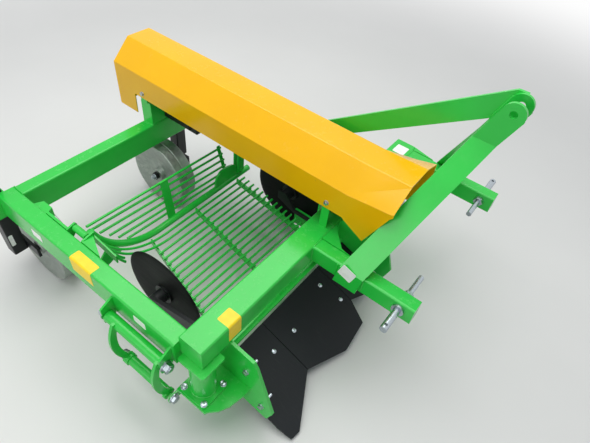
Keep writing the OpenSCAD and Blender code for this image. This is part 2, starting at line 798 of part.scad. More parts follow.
// Lugs and pins by which the sieve hangs on its front left arm and its two right rockers.
module sieve_lugs() {
    low = rocker_shaft_z - rocker_len;
    foot = front_rocker_drop + rocker_len;
    front_x = -front_arm_at - lug_t / 2;
    bar_y = -left_bar_at;
    side_face = -bend_at - 64 - bar_taper * (sieve_rear - 483) - 0.1;
    place() color(green) {
        plate_yz([[bar_y - 14, bed_z(-front_x) - seat], [bar_y - 10, low - 60], [-rocker_shaft_y - 20, low + 4],
            [-rocker_shaft_y - 12, low + 15], [-rocker_shaft_y + 10, low + 15], [-rocker_shaft_y + 18, low + 4],
            [-rocker_shaft_y + 16, low - 60], [-rocker_shaft_y + 4, bed_z(-front_x) - seat]], front_x, lug_t);
        round_x(-front_arm_at - 24, -front_arm_at + 24, -rocker_shaft_y, low, lug_pin_r);
        plate_yz([[-770, -210], [-rear_hanger_y + 12, -rocker_len - 22], [-rear_hanger_y - 14, -rocker_len - 16],
            [-rear_hanger_y - 16, -rocker_len + 10], [-rear_hanger_y + 4, -rocker_len + 20], [-825, -140]],
            -sieve_rear + sieve_tube_r - 0.02, 8);
        round_x(-sieve_rear + sieve_tube_r - 12, -1026, -rear_hanger_y, -rocker_len, lug_pin_r);
        plate_yz([[-front_rocker_y - 18, -foot - 18], [-front_rocker_y - 18, -foot + 18],
            [side_face, bed_z(488) - 8], [side_face, bed_z(488) - 36]], -493, 10);
        round_x(-750, -473, -front_rocker_y, -foot, lug_pin_r);
        for (x = [-750, -483])
            nut_x(x, x + 10, -front_rocker_y, -foot, 26);
    }
}

// Front right rocker: a sleeve on the ears' bolt, two crescent plates and a lower sleeve.
module front_rocker() {
    foot = front_rocker_drop + rocker_len;
    middle_z = -191;
    place() color(green)
        difference() {
            union() {
                round_x(-ear_back + ear_t + 2, -ear_front - ear_t - 2, -front_rocker_y, -front_rocker_drop, 21.5);
                round_x(-731, -502, -front_rocker_y, -foot, 19);
                round_x(-731, -707, -front_rocker_y, -foot, 24);
                for (x = [-731, -516])
                    translate([x, 0, 0])
                        rotate([90, 0, 90])
                            linear_extrude(height = 12)
                                union() {
                                    intersection() {
                                        difference() {
                                            translate([-right_reach + 238, middle_z])
                                                circle(r = 238, $fn = 128);
                                            translate([-right_reach + 238 + 67, middle_z + 5])
                                                circle(r = 277, $fn = 128);
                                        }
                                        translate([-right_reach - 5, -foot - 4])
                                            square([90, rocker_len + 22]);
                                    }
                                    translate([-front_rocker_y, -front_rocker_drop])
                                        circle(r = 21);
                                    translate([-front_rocker_y, -foot])
                                        circle(r = 23);
                                }
            }
            round_x(-ear_back, -ear_front, -front_rocker_y, -front_rocker_drop, 10 + running_gap);
            round_x(-760, -490, -front_rocker_y, -foot, lug_pin_r + running_gap);
        }
}

// Rear right hanger: a sleeve on the bracket's pin, a flat link and a lower sleeve.
module rear_hanger() {
    place() color(green)
        difference() {
            union() {
                round_x(-1106, -1038, -rear_hanger_y, 0, 14);
                block(-1057, -1038, -rear_hanger_y - 4, -rear_hanger_y + 4, -rocker_len, 0);
                round_x(-1057, -1038, -rear_hanger_y, -rocker_len, 15);
            }
            round_x(-1130, -1020, -rear_hanger_y, 0, 8 + running_gap);
            round_x(-1070, -1020, -rear_hanger_y, -rocker_len, lug_pin_r + running_gap);
        }
}

// Plain disc with its bore, in the X-Z plane, at y.
module disc(y) {
    difference() {
        round_y(-disc_at, y - disc_t / 2, y + disc_t / 2, disc_z, disc_r);
        round_y(-disc_at, y - 20, y + 20, disc_z, disc_axle_r + running_gap);
    }
}

// Disc hub on the right side of its disc, from y0 to y1.
module hub(y0, y1) {
    difference() {
        union() {
            round_y(-disc_at, y0, y1, disc_z, 30);
            round_y(-disc_at, y1 - 8, y1, disc_z, 45);
        }
        round_y(-disc_at, y0 - 5, y1 + 5, disc_z, disc_axle_r + running_gap);
    }
}

// Right disc.
module disc_right() {
    place() color(black)
        disc(-right_disc_at);
}

// Right disc's hub.
module hub_right() {
    place() color(black)
        hub(-right_plate_at + side_plate_t + 14, -right_disc_at - disc_t / 2);
}

// Left disc.
module disc_left() {
    place() color(black)
        disc(left_disc_at);
}

// Left disc's hub.
module hub_left() {
    place() color(black)
        hub(left_plate_at - side_plate_t / 2 + 2, left_disc_at - disc_t / 2);
}

// Square post; side is 1 or -1 for the wheel on its left or right, hub the wheel's face and far its other face.
module wheel_post(y, side, hub, far) {
    inner = y + side * post_side / 2;
    translate([-post_x, y, axle_z - 26])
        linear_extrude(height = 60 - axle_z + 26)
            rounded_rect(post_side, post_side, 5);
    block(-post_x - 10, -wheel_at + 30, min(inner, inner + side * 12), max(inner, inner + side * 12), axle_z - 26,
        axle_z + 26);
    round_y(-wheel_at, min(inner, far + side * 20), max(inner, far + side * 20), axle_z, axle_r);
    nut_y(-wheel_at, min(far + side * 5, far + side * 20), max(far + side * 5, far + side * 20), axle_z, 36);
    if (abs(hub - inner) > 30)
        round_y(-wheel_at, min(hub - side * 6, inner), max(hub - side * 6, inner), axle_z, 20);
}

// Right wheel post.
module post_right() {
    place() color(black)
        wheel_post(-right_post_y, 1, -right_wheel_y - wheel_w / 2, -right_wheel_y + wheel_w / 2);
}

// Left wheel post.
module post_left() {
    place() color(black)
        wheel_post(-left_post_y, -1, -left_wheel_y + wheel_w / 2, -left_wheel_y - wheel_w / 2);
}

// Drum wheel: dished faces, a raised ring round the tread and a hub tube.
module drum_wheel(y) {
    half = wheel_w / 2;
    rim = wheel_r - 5;
    translate([-wheel_at, y, axle_z])
        rotate([90, 0, 0])
            rotate_extrude()
                polygon([[axle_r + running_gap, -half - 2], [32, -half - 2], [34, -half + 26], [88, -half + 20],
                    [rim - 6, -half], [rim, -half + 6], [rim, -4], [wheel_r, -3], [wheel_r, 3], [rim, 4],
                    [rim, half - 6], [rim - 6, half], [88, half - 20], [34, half - 26], [32, half + 2],
                    [axle_r + running_gap, half + 2]]);
}

// Right drum wheel.
module wheel_right() {
    place() color(steel)
        drum_wheel(-right_wheel_y);
}

// Left drum wheel.
module wheel_left() {
    place() color(steel)
        drum_wheel(-left_wheel_y);
}

front_beam();
rear_beam();
side_beam();
spine();
gussets();
hitch_arms();
lower_pins();
mast_bars();
rear_brace();
right_post();
post_bracket();
side_plates();
share_bar();
share_plates();
disc_arms();
cover();
cover_brackets();
bearing_bracket();
shaft_bearings();
shaker_box();
rocker_bearings();
rocker_ears();
hanger_bracket();
wheel_sockets();
drive_shaft();
rocker_shaft();
rocker_arms();
sieve_tube();
sieve_bars();
sieve_rods();
sieve_fence();
sieve_lugs();
front_rocker();
rear_hanger();
disc_right();
hub_right();
disc_left();
hub_left();
post_right();
wheel_right();
post_left();
wheel_left();
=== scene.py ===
"""Looks of a tractor-mounted potato digger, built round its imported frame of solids.

The frame tubes, sieve, rockers and hitch keep their solids and get finishes worked out from the
real coatings. The folded cover, rear brace, drum wheels, coulter discs and drive shaft are drawn
anew as surfaces on a grid, and bolts, nuts, weld beads and blank stickers are added where the
machine has them. Lengths in the classes are millimetres in the maker's frame: X forward, Y left, Z
up, with the middle of the hitch pins at zero. make_piece turns them into the shared frame's metres.
"""

import json
import logging
import math
from dataclasses import dataclass
from enum import Enum
from functools import cached_property
from typing import Any, Sequence

import bmesh
import bpy
import numpy as np
from mathutils import Matrix, Vector


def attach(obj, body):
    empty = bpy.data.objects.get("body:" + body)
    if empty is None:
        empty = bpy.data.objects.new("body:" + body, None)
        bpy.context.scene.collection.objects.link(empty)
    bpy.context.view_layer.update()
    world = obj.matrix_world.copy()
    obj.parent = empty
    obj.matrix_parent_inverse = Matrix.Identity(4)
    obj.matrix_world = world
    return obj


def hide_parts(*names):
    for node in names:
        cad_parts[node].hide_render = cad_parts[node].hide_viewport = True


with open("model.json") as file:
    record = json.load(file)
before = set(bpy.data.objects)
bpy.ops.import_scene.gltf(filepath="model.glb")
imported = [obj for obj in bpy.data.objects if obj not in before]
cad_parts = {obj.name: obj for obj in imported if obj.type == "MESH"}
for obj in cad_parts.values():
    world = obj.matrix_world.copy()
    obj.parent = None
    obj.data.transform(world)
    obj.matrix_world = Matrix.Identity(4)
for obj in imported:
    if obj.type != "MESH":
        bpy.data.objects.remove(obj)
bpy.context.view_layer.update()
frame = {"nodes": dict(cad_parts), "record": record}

log = logging.getLogger("digger")
Point = Sequence[float]
Socket = bpy.types.NodeSocket
Array = np.ndarray
MAKER_ORIGIN = np.array([-772.5, -286.5, -490.0])
MM_IN_METRE = 1000.0
AHEAD, LEFT, UP = (1, 0, 0), (0, 1, 0), (0, 0, 1)


class Body(Enum):
    """Bodies of the part that new pieces ride on."""

    FRAME = "frame"
    SHAFT = "drive_shaft"
    SIEVE = "sieve"
    RIGHT_DISC = "right_disc"
    LEFT_DISC = "left_disc"
    RIGHT_POST = "right_wheel_post"
    LEFT_POST = "left_wheel_post"
    RIGHT_WHEEL = "right_wheel"
    LEFT_WHEEL = "left_wheel"


class Slot(Enum):
    """Material slots of the record."""

    GREEN = "green_paint"
    YELLOW = "yellow_paint"
    BLACK = "black_paint"
    ZINC = "zinc"
    GALVANISED = "galvanised"
    STEEL = "bright_steel"


# Settings that many nodes share: a range with soft ends, a product, and a mix of colours 6 and 7 by
# input 0. Inputs 0 to 4 of a range are its value, the ends it comes from and those it goes to.
SOFT = {"interpolation_type": "SMOOTHSTEP"}
TIMES = {"operation": "MULTIPLY"}
COLOURS = {"out": 2, "data_type": "RGBA"}


def linear(hex_colour: str) -> tuple[float, ...]:
    """Returns an sRGB colour of six hex digits as linear red, green and blue, and 1 for alpha."""
    c = np.array([int(hex_colour[i : i + 2], 16) for i in (0, 2, 4)]) / 255.0
    return (*np.where(c <= 0.04045, c / 12.92, ((c + 0.055) / 1.055) ** 2.4).tolist(), 1.0)


@dataclass
class Nodes:
    """Emptied node tree of a material or world, and the way to add a node to it."""

    owner: bpy.types.Material | bpy.types.World

    def __post_init__(self) -> None:
        """Switches the tree on and empties it."""
        self.owner.use_nodes = True
        self.owner.node_tree.nodes.clear()

    def add(self, kind: str, inputs: dict[Any, Any] | None = None, out: int | str = 0,
            **settings: Any) -> Socket | None:
        """Adds one shader node, sets it up, links it and hands back one of its outputs.

        A texture that is given no Vector reads the object coordinates.

        Args:
            kind: Blender's name of the node, less the "ShaderNode" that it starts with.
            inputs: input name or number to a value, a hex colour, or the socket that feeds it.
            out: name or number of the output to hand back.
            settings: the node's own settings.

        Returns:
            That output socket, or None where the node has no outputs.
        """
        node = self.owner.node_tree.nodes.new("ShaderNode" + kind)
        for key, value in settings.items():
            setattr(node, key, value)
        if kind.startswith("Tex") and kind != "TexCoord":
            inputs = {"Vector": self.place, **inputs}
        for key, value in (inputs or {}).items():
            if isinstance(value, Socket):
                self.owner.node_tree.links.new(value, node.inputs[key])
            else:
                node.inputs[key].default_value = linear(value) if isinstance(value, str) else value
        return node.outputs[out] if len(node.outputs) else None

    @cached_property
    def place(self) -> Socket:
        """Object coordinates in metres."""
        return self.add("TexCoord", out="Object")

    @cached_property
    def seen(self) -> Socket:
        """Tells rays that look from the rays that only carry light.

        Returns:
            Socket that is 1 on camera, mirror and glass rays and 0 on the others.
        """
        rays = self.add("LightPath").node.outputs
        look = self.add("Math", {0: rays["Is Camera Ray"], 1: rays["Is Glossy Ray"]},
                        operation="ADD")
        return self.add("Math", {0: look, 1: rays["Is Transmission Ray"]}, operation="ADD",
                        use_clamp=True)


@dataclass(frozen=True)
class Finish:
    """A surface finish: its name, the material slot it belongs to and its main colour."""

    name: str
    slot: Slot
    colour: str

    def dress(self, n: Nodes) -> dict[str, Any]:
        """Adds the finish's own nodes. Each kind of finish writes its own.

        Args:
            n: nodes of the material.

        Returns:
            Input name of the main shader to its value or socket.
        """
        raise NotImplementedError

    def material(self) -> bpy.types.Material:
        """Makes the finish's material once.

        Returns:
            The material.
        """
        if self.name in bpy.data.materials:
            return bpy.data.materials[self.name]
        material = bpy.data.materials.new(self.name)
        n = Nodes(material)
        n.add("OutputMaterial", {"Surface": n.add("BsdfPrincipled", self.dress(n))})
        return material


@dataclass(frozen=True)
class PowderCoat(Finish):
    """Glossy polyester powder coat, sprayed dry and baked at 180 degrees.

    It flows out to a thick, even film with a faint orange peel, so highlights are sharp but wavy.
    A field's fine dust greys the faces that look up.
    """

    shade: str
    dust: str
    dust_share: float
    gloss: float = 0.45
    primer: str = "5b5f58"

    def dress(self, n: Nodes) -> dict[str, Any]:
        """Film colour that varies with thickness, dust that lies on top, chips and orange peel.

        Args:
            n: nodes of the material.

        Returns:
            Inputs of the main shader.
        """
        # The film's thickness varies over about 200 mm.
        cloud = n.add("TexNoise", {"Scale": 5.0, "Detail": 4.0, "Roughness": 0.6})
        thick = n.add("MapRange", {0: cloud, 1: 0.35, 2: 0.7}, **SOFT)
        film = n.add("Mix", {0: thick, 6: self.shade, 7: self.colour}, **COLOURS)
        # Dust drifts of about 30 mm with finer specks, coarser than real to show.
        drift = n.add("TexNoise", {"Scale": 33.0, "Detail": 6.0, "Roughness": 0.75})
        drift = n.add("MapRange", {0: drift, 1: 0.45, 2: 0.8}, **SOFT)
        # It lies on faces that look up and falls off walls.
        height = n.add("SeparateXYZ", {0: n.add("NewGeometry", out="Normal")}, "Z")
        upward = n.add("MapRange", {0: height, 1: 0.35, 2: 0.95}, **SOFT)
        dusty = n.add("Math", {0: drift, 1: upward}, **TIMES)
        dusty = n.add("Math", {0: dusty, 1: self.dust_share}, **TIMES)
        coloured = n.add("Mix", {0: dusty, 6: film, 7: self.dust}, **COLOURS)
        # Chips of about 2 mm down to the grey primer, a few on a square metre.
        spots = n.add("TexVoronoi", {"Scale": 14.0, "Randomness": 1.0}, feature="F1")
        chip = n.add("MapRange", {0: spots, 1: 0.016, 2: 0.011}, **SOFT)
        worn = n.add("Mix", {0: chip, 6: coloured, 7: self.primer}, **COLOURS)
        rough = n.add("MapRange", {0: dusty, 2: self.dust_share, 3: 0.22, 4: 0.36})
        # Orange peel has waves of about 3 mm, a few hundredths of a millimetre high.
        peel = n.add("TexNoise", {"Scale": 330.0, "Detail": 2.0})
        relief = n.add("Bump", {"Height": peel, "Strength": 0.35, "Distance": 0.0003})
        dent = n.add("Bump", {"Height": chip, "Strength": 0.6, "Distance": 0.0003,
                              "Normal": relief}, invert=True)
        return {"Base Color": worn, "Roughness": rough, "Normal": dent, "IOR": 1.5,
                "Specular IOR Level": self.gloss, "Coat Weight": 0.06, "Coat Roughness": 0.06}


@dataclass(frozen=True)
class SatinPaint(Finish):
    """Black satin machine enamel, sprayed wet over ground steel.

    The film is thin, so it lets fine grinding marks through, and soil scuffs it grey.
    """

    roughness: float
    scuffed: float = 0.3
    gloss: float = 0.35
    scuff: str = "474a47"

    def dress(self, n: Nodes) -> dict[str, Any]:
        """Enamel, long soil scuffs and a fine grain.

        Args:
            n: nodes of the material.

        Returns:
            Inputs of the main shader.
        """
        # Scuffs run back along the machine, about 120 mm long and 6 mm wide, in patches of 110 mm.
        along = n.add("Mapping", {"Vector": n.place, "Scale": (8.0, 160.0, 60.0)})
        streak = n.add("TexNoise", {"Vector": along, "Scale": 1.0, "Detail": 5.0, "Roughness": 0.7})
        patch = n.add("TexNoise", {"Scale": 9.0, "Detail": 3.0})
        lines = n.add("MapRange", {0: streak, 1: 0.5, 2: 0.78}, **SOFT)
        where = n.add("MapRange", {0: patch, 1: 0.4, 2: 0.7}, **SOFT)
        where = n.add("Math", {0: lines, 1: where}, **TIMES)
        share = n.add("Math", {0: where, 1: self.scuffed}, **TIMES)
        colour = n.add("Mix", {0: share, 6: self.colour, 7: self.scuff}, **COLOURS)
        rough = n.add("MapRange", {0: streak, 3: self.roughness - 0.1, 4: self.roughness + 0.14})
        # Grain of a ground plate, about 1.5 mm, coarser than real to show.
        grain = n.add("TexNoise", {"Scale": 650.0, "Detail": 2.0})
        relief = n.add("Bump", {"Height": grain, "Strength": 0.25, "Distance": 0.0002})
        return {"Base Color": colour, "Roughness": rough, "Normal": relief,
                "Specular IOR Level": self.gloss}


@dataclass(frozen=True)
class Galvanised(Finish):
    """Hot-dip zinc that froze into spangles and has dulled outdoors.

    Each crystal turns the light its own way, so the grey breaks into plates of 1 or 2 cm.
    """

    dull: str
    soil: str = "8d8474"
    roughness: float = 0.46

    def dress(self, n: Nodes) -> dict[str, Any]:
        """Spangles, dull patches and dried mud low down.

        Args:
            n: nodes of the material.

        Returns:
            Inputs of the main shader.
        """
        # Spangles are 12 to 20 mm across, and dull patches about 90 mm.
        spangle = n.add("TexVoronoi", {"Scale": 62.0}, feature="F1")
        tone = n.add("SeparateColor", {0: spangle.node.outputs["Color"]})
        cloud = n.add("TexNoise", {"Scale": 11.0, "Detail": 5.0, "Roughness": 0.65})
        mixed = n.add("Math", {0: tone, 1: cloud}, **TIMES)
        bright = n.add("MapRange", {0: mixed, 1: 0.05, 2: 0.6}, **SOFT)
        zinc = n.add("Mix", {0: bright, 6: self.dull, 7: self.colour}, **COLOURS)
        # The lowest 90 mm carries a film of dried soil that thins out upwards.
        height = n.add("SeparateXYZ", {0: n.place}, "Z")
        low = n.add("MapRange", {0: height, 1: 0.09, 2: 0.0}, **SOFT)
        spread = n.add("MapRange", {0: cloud, 1: 0.4, 2: 0.7}, **SOFT)
        soil = n.add("Math", {0: low, 1: spread}, **TIMES)
        colour = n.add("Mix", {0: soil, 6: zinc, 7: self.soil}, **COLOURS)
        metal = n.add("MapRange", {0: soil, 3: 0.85, 4: 0.1})
        rough = n.add("MapRange", {0: tone, 3: self.roughness - 0.06, 4: self.roughness + 0.06})
        relief = n.add("Bump", {"Height": spangle, "Strength": 0.2, "Distance": 0.0006})
        return {"Base Color": colour, "Metallic": metal, "Roughness": rough, "Normal": relief}


@dataclass(frozen=True)
class BrightMetal(Finish):
    """Zinc-plated or turned steel: a bare face with fine marks and a thin film of dirt."""

    filmed: float
    roughness: float
    film: str = "6a665c"

    def dress(self, n: Nodes) -> dict[str, Any]:
        """Bright metal with a broken film of dirt and turning marks.

        Args:
            n: nodes of the material.

        Returns:
            Inputs of the main shader.
        """
        # Dirt comes in patches of about 11 mm.
        cloud = n.add("TexNoise", {"Scale": 90.0, "Detail": 5.0, "Roughness": 0.7})
        dirt = n.add("MapRange", {0: cloud, 1: 0.5, 2: 0.75}, **SOFT)
        dirt = n.add("Math", {0: dirt, 1: self.filmed}, **TIMES)
        colour = n.add("Mix", {0: dirt, 6: self.colour, 7: self.film}, **COLOURS)
        rough = n.add("MapRange", {0: cloud, 3: self.roughness - 0.08, 4: self.roughness + 0.16})
        # Turning marks about 1 mm apart, coarser than real to show.
        marks = n.add("TexNoise", {"Scale": 900.0, "Detail": 1.0})
        relief = n.add("Bump", {"Height": marks, "Strength": 0.2, "Distance": 0.0001})
        return {"Base Color": colour, "Metallic": 1.0, "Roughness": rough, "Normal": relief}


@dataclass(frozen=True)
class StickerFilm(Finish):
    """Printed vinyl sticker, left blank: a smooth plastic skin with faded patches and bubbles."""

    faded: str

    def dress(self, n: Nodes) -> dict[str, Any]:
        """Plain film with faint fading over about 20 mm and air bubbles of about 5 mm under it.

        Args:
            n: nodes of the material.

        Returns:
            Inputs of the main shader.
        """
        fade = n.add("TexNoise", {"Scale": 48.0, "Detail": 4.0})
        fresh = n.add("MapRange", {0: fade, 1: 0.35, 2: 0.75}, **SOFT)
        colour = n.add("Mix", {0: fresh, 6: self.colour, 7: self.faded}, **COLOURS)
        rough = n.add("MapRange", {0: fade, 3: 0.28, 4: 0.5})
        bubble = n.add("TexVoronoi", {"Scale": 180.0}, feature="SMOOTH_F1")
        relief = n.add("Bump", {"Height": bubble, "Strength": 0.15, "Distance": 0.0002},
                       invert=True)
        return {"Base Color": colour, "Roughness": rough, "Normal": relief}


GREEN = PowderCoat("green_powder_coat", Slot.GREEN, "2acb47", "27c443", "b2b9ab", 0.07)
YELLOW = PowderCoat("yellow_powder_coat", Slot.YELLOW, "f4b903", "f1b503", "d2c69a", 0.03, 0.3)
# The blades' black is a lighter, bluer copy of the enamel: a painted soft sky reflection on the
# shares, over their own black.
BLADE_BLACK_AND_SKY_SHEEN = SatinPaint("black_enamel_and_painted_sky_sheen_on_blades", Slot.BLACK, "12171a", 0.52, gloss=0.24)
# The discs' black is a darker copy of the enamel: painted shade, as on the disc under the cover.
DISC_BLACK_AND_SHADE = SatinPaint("black_enamel_and_painted_shade_on_discs", Slot.BLACK, "090d0c", 0.56, 0.12, 0.16)
FRAME_BLACK = SatinPaint("black_enamel_on_castings", Slot.BLACK, "16191a", 0.36, 0.15)
ZINC = BrightMetal("zinc_plated_steel", Slot.ZINC, "aeb7be", 0.12, 0.24)
STEEL = BrightMetal("turned_steel", Slot.STEEL, "a2a4a3", 0.4, 0.33)
DRUM = Galvanised("hot_dip_zinc", Slot.GALVANISED, "a4aca5", "929b94")
YELLOW_FILM = StickerFilm("blank_yellow_vinyl", Slot.YELLOW, "ffdc14", "f9d31c")
WHITE_FILM = StickerFilm("blank_white_vinyl", Slot.ZINC, "fbfcf8", "eef0ea")
SLOT_FINISH = {finish.slot.value: finish
               for finish in (GREEN, YELLOW, FRAME_BLACK, ZINC, DRUM, STEEL)}
NODE_FINISH = {"share_plates": BLADE_BLACK_AND_SKY_SHEEN}


@dataclass
class Shell:
    """Points in millimetres and four-sided faces of one or more closed surfaces."""

    points: Array
    faces: Array


def grid(points: Array, wrap_u: bool = False, wrap_v: bool = False) -> Shell:
    """Faces between the rows and columns of a grid of points.

    Args:
        points: array of rows by columns by 3.
        wrap_u: the last row joins the first.
        wrap_v: the last column joins the first.

    Returns:
        The surface.
    """
    rows, columns = points.shape[:2]
    i = np.arange(rows if wrap_u else rows - 1)[:, None]
    j = np.arange(columns if wrap_v else columns - 1)[None, :]
    down, right = (i + 1) % rows, (j + 1) % columns
    corners = [i * columns + j, down * columns + j, down * columns + right, i * columns + right]
    return Shell(points.reshape(-1, 3), np.stack(corners, -1).reshape(-1, 4))


def join(shells: Sequence[Shell]) -> Shell:
    """Puts several surfaces into one.

    Args:
        shells: the surfaces.

    Returns:
        One surface with all their points and faces.
    """
    starts = np.cumsum([0] + [len(s.points) for s in shells[:-1]])
    faces = [s.faces + start for s, start in zip(shells, starts)]
    return Shell(np.concatenate([s.points for s in shells]), np.concatenate(faces))


def closed(shell: Shell) -> tuple[Array, list[list[int]]]:
    """Merges doubled points, at poles and seams, and makes triangles of faces that lose a side.

    Args:
        shell: surface with doubled points.

    Returns:
        The points and the faces' corner numbers.
    """
    _, first, number = np.unique(np.round(shell.points, 3), axis=0, return_index=True,
                                 return_inverse=True)
    corners = number.reshape(-1)[shell.faces]
    doubled = corners == np.roll(corners, -1, axis=1)
    fours = corners[doubled.sum(1) == 0]
    threes = corners[doubled.sum(1) == 1]
    skip = doubled[doubled.sum(1) == 1].argmax(1)
    keep = (skip[:, None] + np.arange(1, 4)[None, :]) % 4
    return shell.points[first], np.take_along_axis(threes, keep, axis=1).tolist() + fours.tolist()


def put(name: str, data: bpy.types.ID) -> bpy.types.Object:
    """Returns a new object of the data, put into the scene."""
    bpy.context.scene.collection.objects.link(bpy.data.objects.new(name, data))
    return bpy.data.objects[name]


def make_piece(name: str, shells: Sequence[Shell], finish: Finish, smooth: float = 38.0,
               replaces: Sequence[str] = (), body: Body = Body.FRAME) -> None:
    """Turns surfaces into one piece of the machine that rides on its body.

    Args:
        name: the piece's name.
        shells: its surfaces in the maker's millimetres.
        finish: what it is coated with.
        smooth: edges sharper than this many degrees stay sharp.
        replaces: nodes that the piece stands for.
        body: body that carries it.
    """
    points, faces = closed(join(shells))
    mesh = bpy.data.meshes.new(name)
    mesh.from_pydata(((points - MAKER_ORIGIN) / MM_IN_METRE).tolist(), [], faces)
    shape = bmesh.new()
    shape.from_mesh(mesh)
    bmesh.ops.recalc_face_normals(shape, faces=shape.faces)
    shape.to_mesh(mesh)
    shape.free()
    mesh.shade_smooth()
    mesh.set_sharp_from_angle(angle=math.radians(smooth))
    mesh.materials.append(finish.material())
    piece = put(name, mesh)
    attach(piece, body.value)
    if replaces:
        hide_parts(*replaces)
    log.info("%s: %d faces on %s", name, len(faces), body.value)


def angles(count: int) -> Array:
    """Returns evenly spread angles of a full turn, without the repeat at its end."""
    return np.linspace(0.0, 2 * np.pi, count, endpoint=False)


def unit(vectors: Any) -> Array:
    """Returns the vectors along the last axis at length one."""
    vectors = np.asarray(vectors, float)
    return vectors / np.linalg.norm(vectors, axis=-1, keepdims=True)


def axes(along: Point) -> tuple[Array, Array, Array]:
    """Finds directions that stand square to a line.

    Args:
        along: direction of the line.

    Returns:
        Two directions across the line and the line's own, all of length one.
    """
    w = unit(along)
    u = unit(np.cross(UP if abs(w[2]) < 0.9 else AHEAD, w))
    return u, np.cross(w, u), w


def turned(heights: Array, radii: Array, origin: Point, along: Point,
           ring: bool = False) -> Shell:
    """Surface about an axis.

    The point at row i and angle a is origin + height · axis + radius · (cos a · u + sin a · v).

    Args:
        heights: rows by columns, or rows by 1, along the axis.
        radii: rows by columns.
        origin: foot of the axis.
        along: direction of the axis.
        ring: the last row joins the first, as on a piece with a bore.

    Returns:
        The surface.
    """
    u, v, w = axes(along)
    a = angles(radii.shape[1])[:, None]
    around = np.cos(a) * u + np.sin(a) * v
    points = np.asarray(origin, float) + heights[..., None] * w + radii[..., None] * around
    return grid(points, wrap_u=ring, wrap_v=True)


def lathe(profile: Array, origin: Point, along: Point, steps: int,
          ring: bool = False) -> Shell:
    """Returns the turned surface of a profile of (height, radius) rows, the same at every angle."""
    return turned(profile[:, :1], np.repeat(profile[:, 1:], steps, 1), origin, along, ring)


def bar(rows: Array) -> list[Shell]:
    """Returns the sides and end caps of a bar from its sections, each of 4 corners in turn."""
    caps = [grid(np.stack([rows[k, :2], rows[k, :1:-1]])) for k in (0, -1)]
    return [grid(rows, wrap_v=True), *caps]


def rounded(corners: Sequence[Point], radii: Sequence[float] | float, steps: int,
            loop: bool = True) -> Array:
    """Rounds the corners of a flat outline with arcs.

    Each corner is cut back by radius / tan(half its angle) along both sides, and the arc between
    the cuts is the turn of the start spoke into the end spoke about the arc's middle.

    Args:
        corners: (x, y) of each corner.
        radii: arc radius of each corner, or one for all.
        steps: points on each arc.
        loop: the outline is closed; otherwise its two ends stay as they are.

    Returns:
        The rounded outline's points.
    """
    p = np.asarray(corners, float)
    r = np.broadcast_to(np.asarray(radii, float), (len(p),))[:, None]
    a, b = unit(np.roll(p, 1, 0) - p), unit(np.roll(p, -1, 0) - p)
    half = np.arccos(np.clip((a * b).sum(1, keepdims=True), -0.99999, 0.99999)) / 2
    middle = p + unit(a + b) * r / np.sin(half)
    start, end = p + a * r / np.tan(half) - middle, p + b * r / np.tan(half) - middle
    t, s = np.linspace(0.0, 1.0, steps)[None, :, None], (np.pi - 2 * half)[:, :, None]
    turn = np.sin((1 - t) * s) * start[:, None] + np.sin(t * s) * end[:, None]
    arc = np.where(r[:, None] > 0, middle[:, None] + turn / np.sin(s), p[:, None])
    if not loop:
        return np.concatenate([p[:1], arc[1:-1].reshape(-1, 2), p[-1:]])
    return arc.reshape(-1, 2)


def hex_shell(origin: Point, along: Point, across: float, height: float) -> Shell:
    """Chamfered hexagon nut or head.

    The radius at angle a is half the width over the flats / cos(a measured from the nearest flat).
    The chamfer circle's radius is 0.478 of that width, and past it the top falls by 0.58 of the
    distance, the tangent of 30 degrees, which leaves the curved edge of a turned chamfer.

    Args:
        origin: middle of the underside.
        along: direction it stands in.
        across: width over the flats.
        height: height to the top.

    Returns:
        The surface.
    """
    sixth = np.pi / 3
    r = across / 2 / np.cos((angles(24) + sixth / 2) % sixth - sixth / 2)
    inner = np.minimum(r, across * 0.478)
    fall = (r - inner) * 0.58
    zero = np.zeros_like(r)
    heights = np.stack([zero, zero, height - fall, zero + height, zero + height])
    return turned(heights, np.stack([zero, r, r, inner, zero]), origin, along)


def chamfered(height: float, radius: float, edge: float) -> Array:
    """Returns the profile of a round plate or pin whose top edge is chamfered."""
    side = [[0, radius], [height - edge, radius], [height, radius - edge]]
    return np.array([[0, 0], *side, [height, 0]], float)


class Head(Enum):
    """Kinds of fastener end, with their heights / the thread's width."""

    NUT = 0.85
    BOLT = 0.64
    DOME = 0.31


@dataclass(frozen=True)
class Fastener:
    """One visible end of a bolt: washer, hexagon or dome, and the thread that stands past a nut.

    The washer's and the dome's radii are ratios to the thread's radius.
    """

    at: Point
    along: Point
    size: float = 12.0
    head: Head = Head.BOLT
    stub: float = 7.0
    sunk: float = 0.2
    edge: float = 0.6
    thread_edge: float = 1.5
    washer: float = 2.1
    dome: float = 1.75
    across: float = 1.58

    def shell(self) -> Shell:
        """Builds the washer, the hexagon or dome and the thread's end.

        A dome has the height 0.31 · width · sin t and the radius 1.75 · radius · cos t.

        Returns:
            The surfaces as one.
        """
        w = axes(self.along)[2]
        at, r = np.asarray(self.at, float) - self.sunk * w, self.size / 2
        height = self.size * self.head.value
        if self.head is Head.DOME:
            t = np.linspace(0.0, np.pi / 2, 6)
            dome = np.stack([height * np.sin(t), self.dome * r * np.cos(t)], 1)
            return lathe(np.concatenate([[[0.0, 0.0]], dome]), at, w, 20)
        plate = self.size * 0.2 + 0.3
        parts = [lathe(chamfered(plate, r * self.washer, self.edge), at, w, 24),
                 hex_shell(at + plate * w, w, self.size * self.across, height)]
        if self.head is Head.NUT:
            end = chamfered(self.stub, r, self.thread_edge)
            parts.append(lathe(end, at + (plate + height - 0.1) * w, w, 16))
        return join(parts)


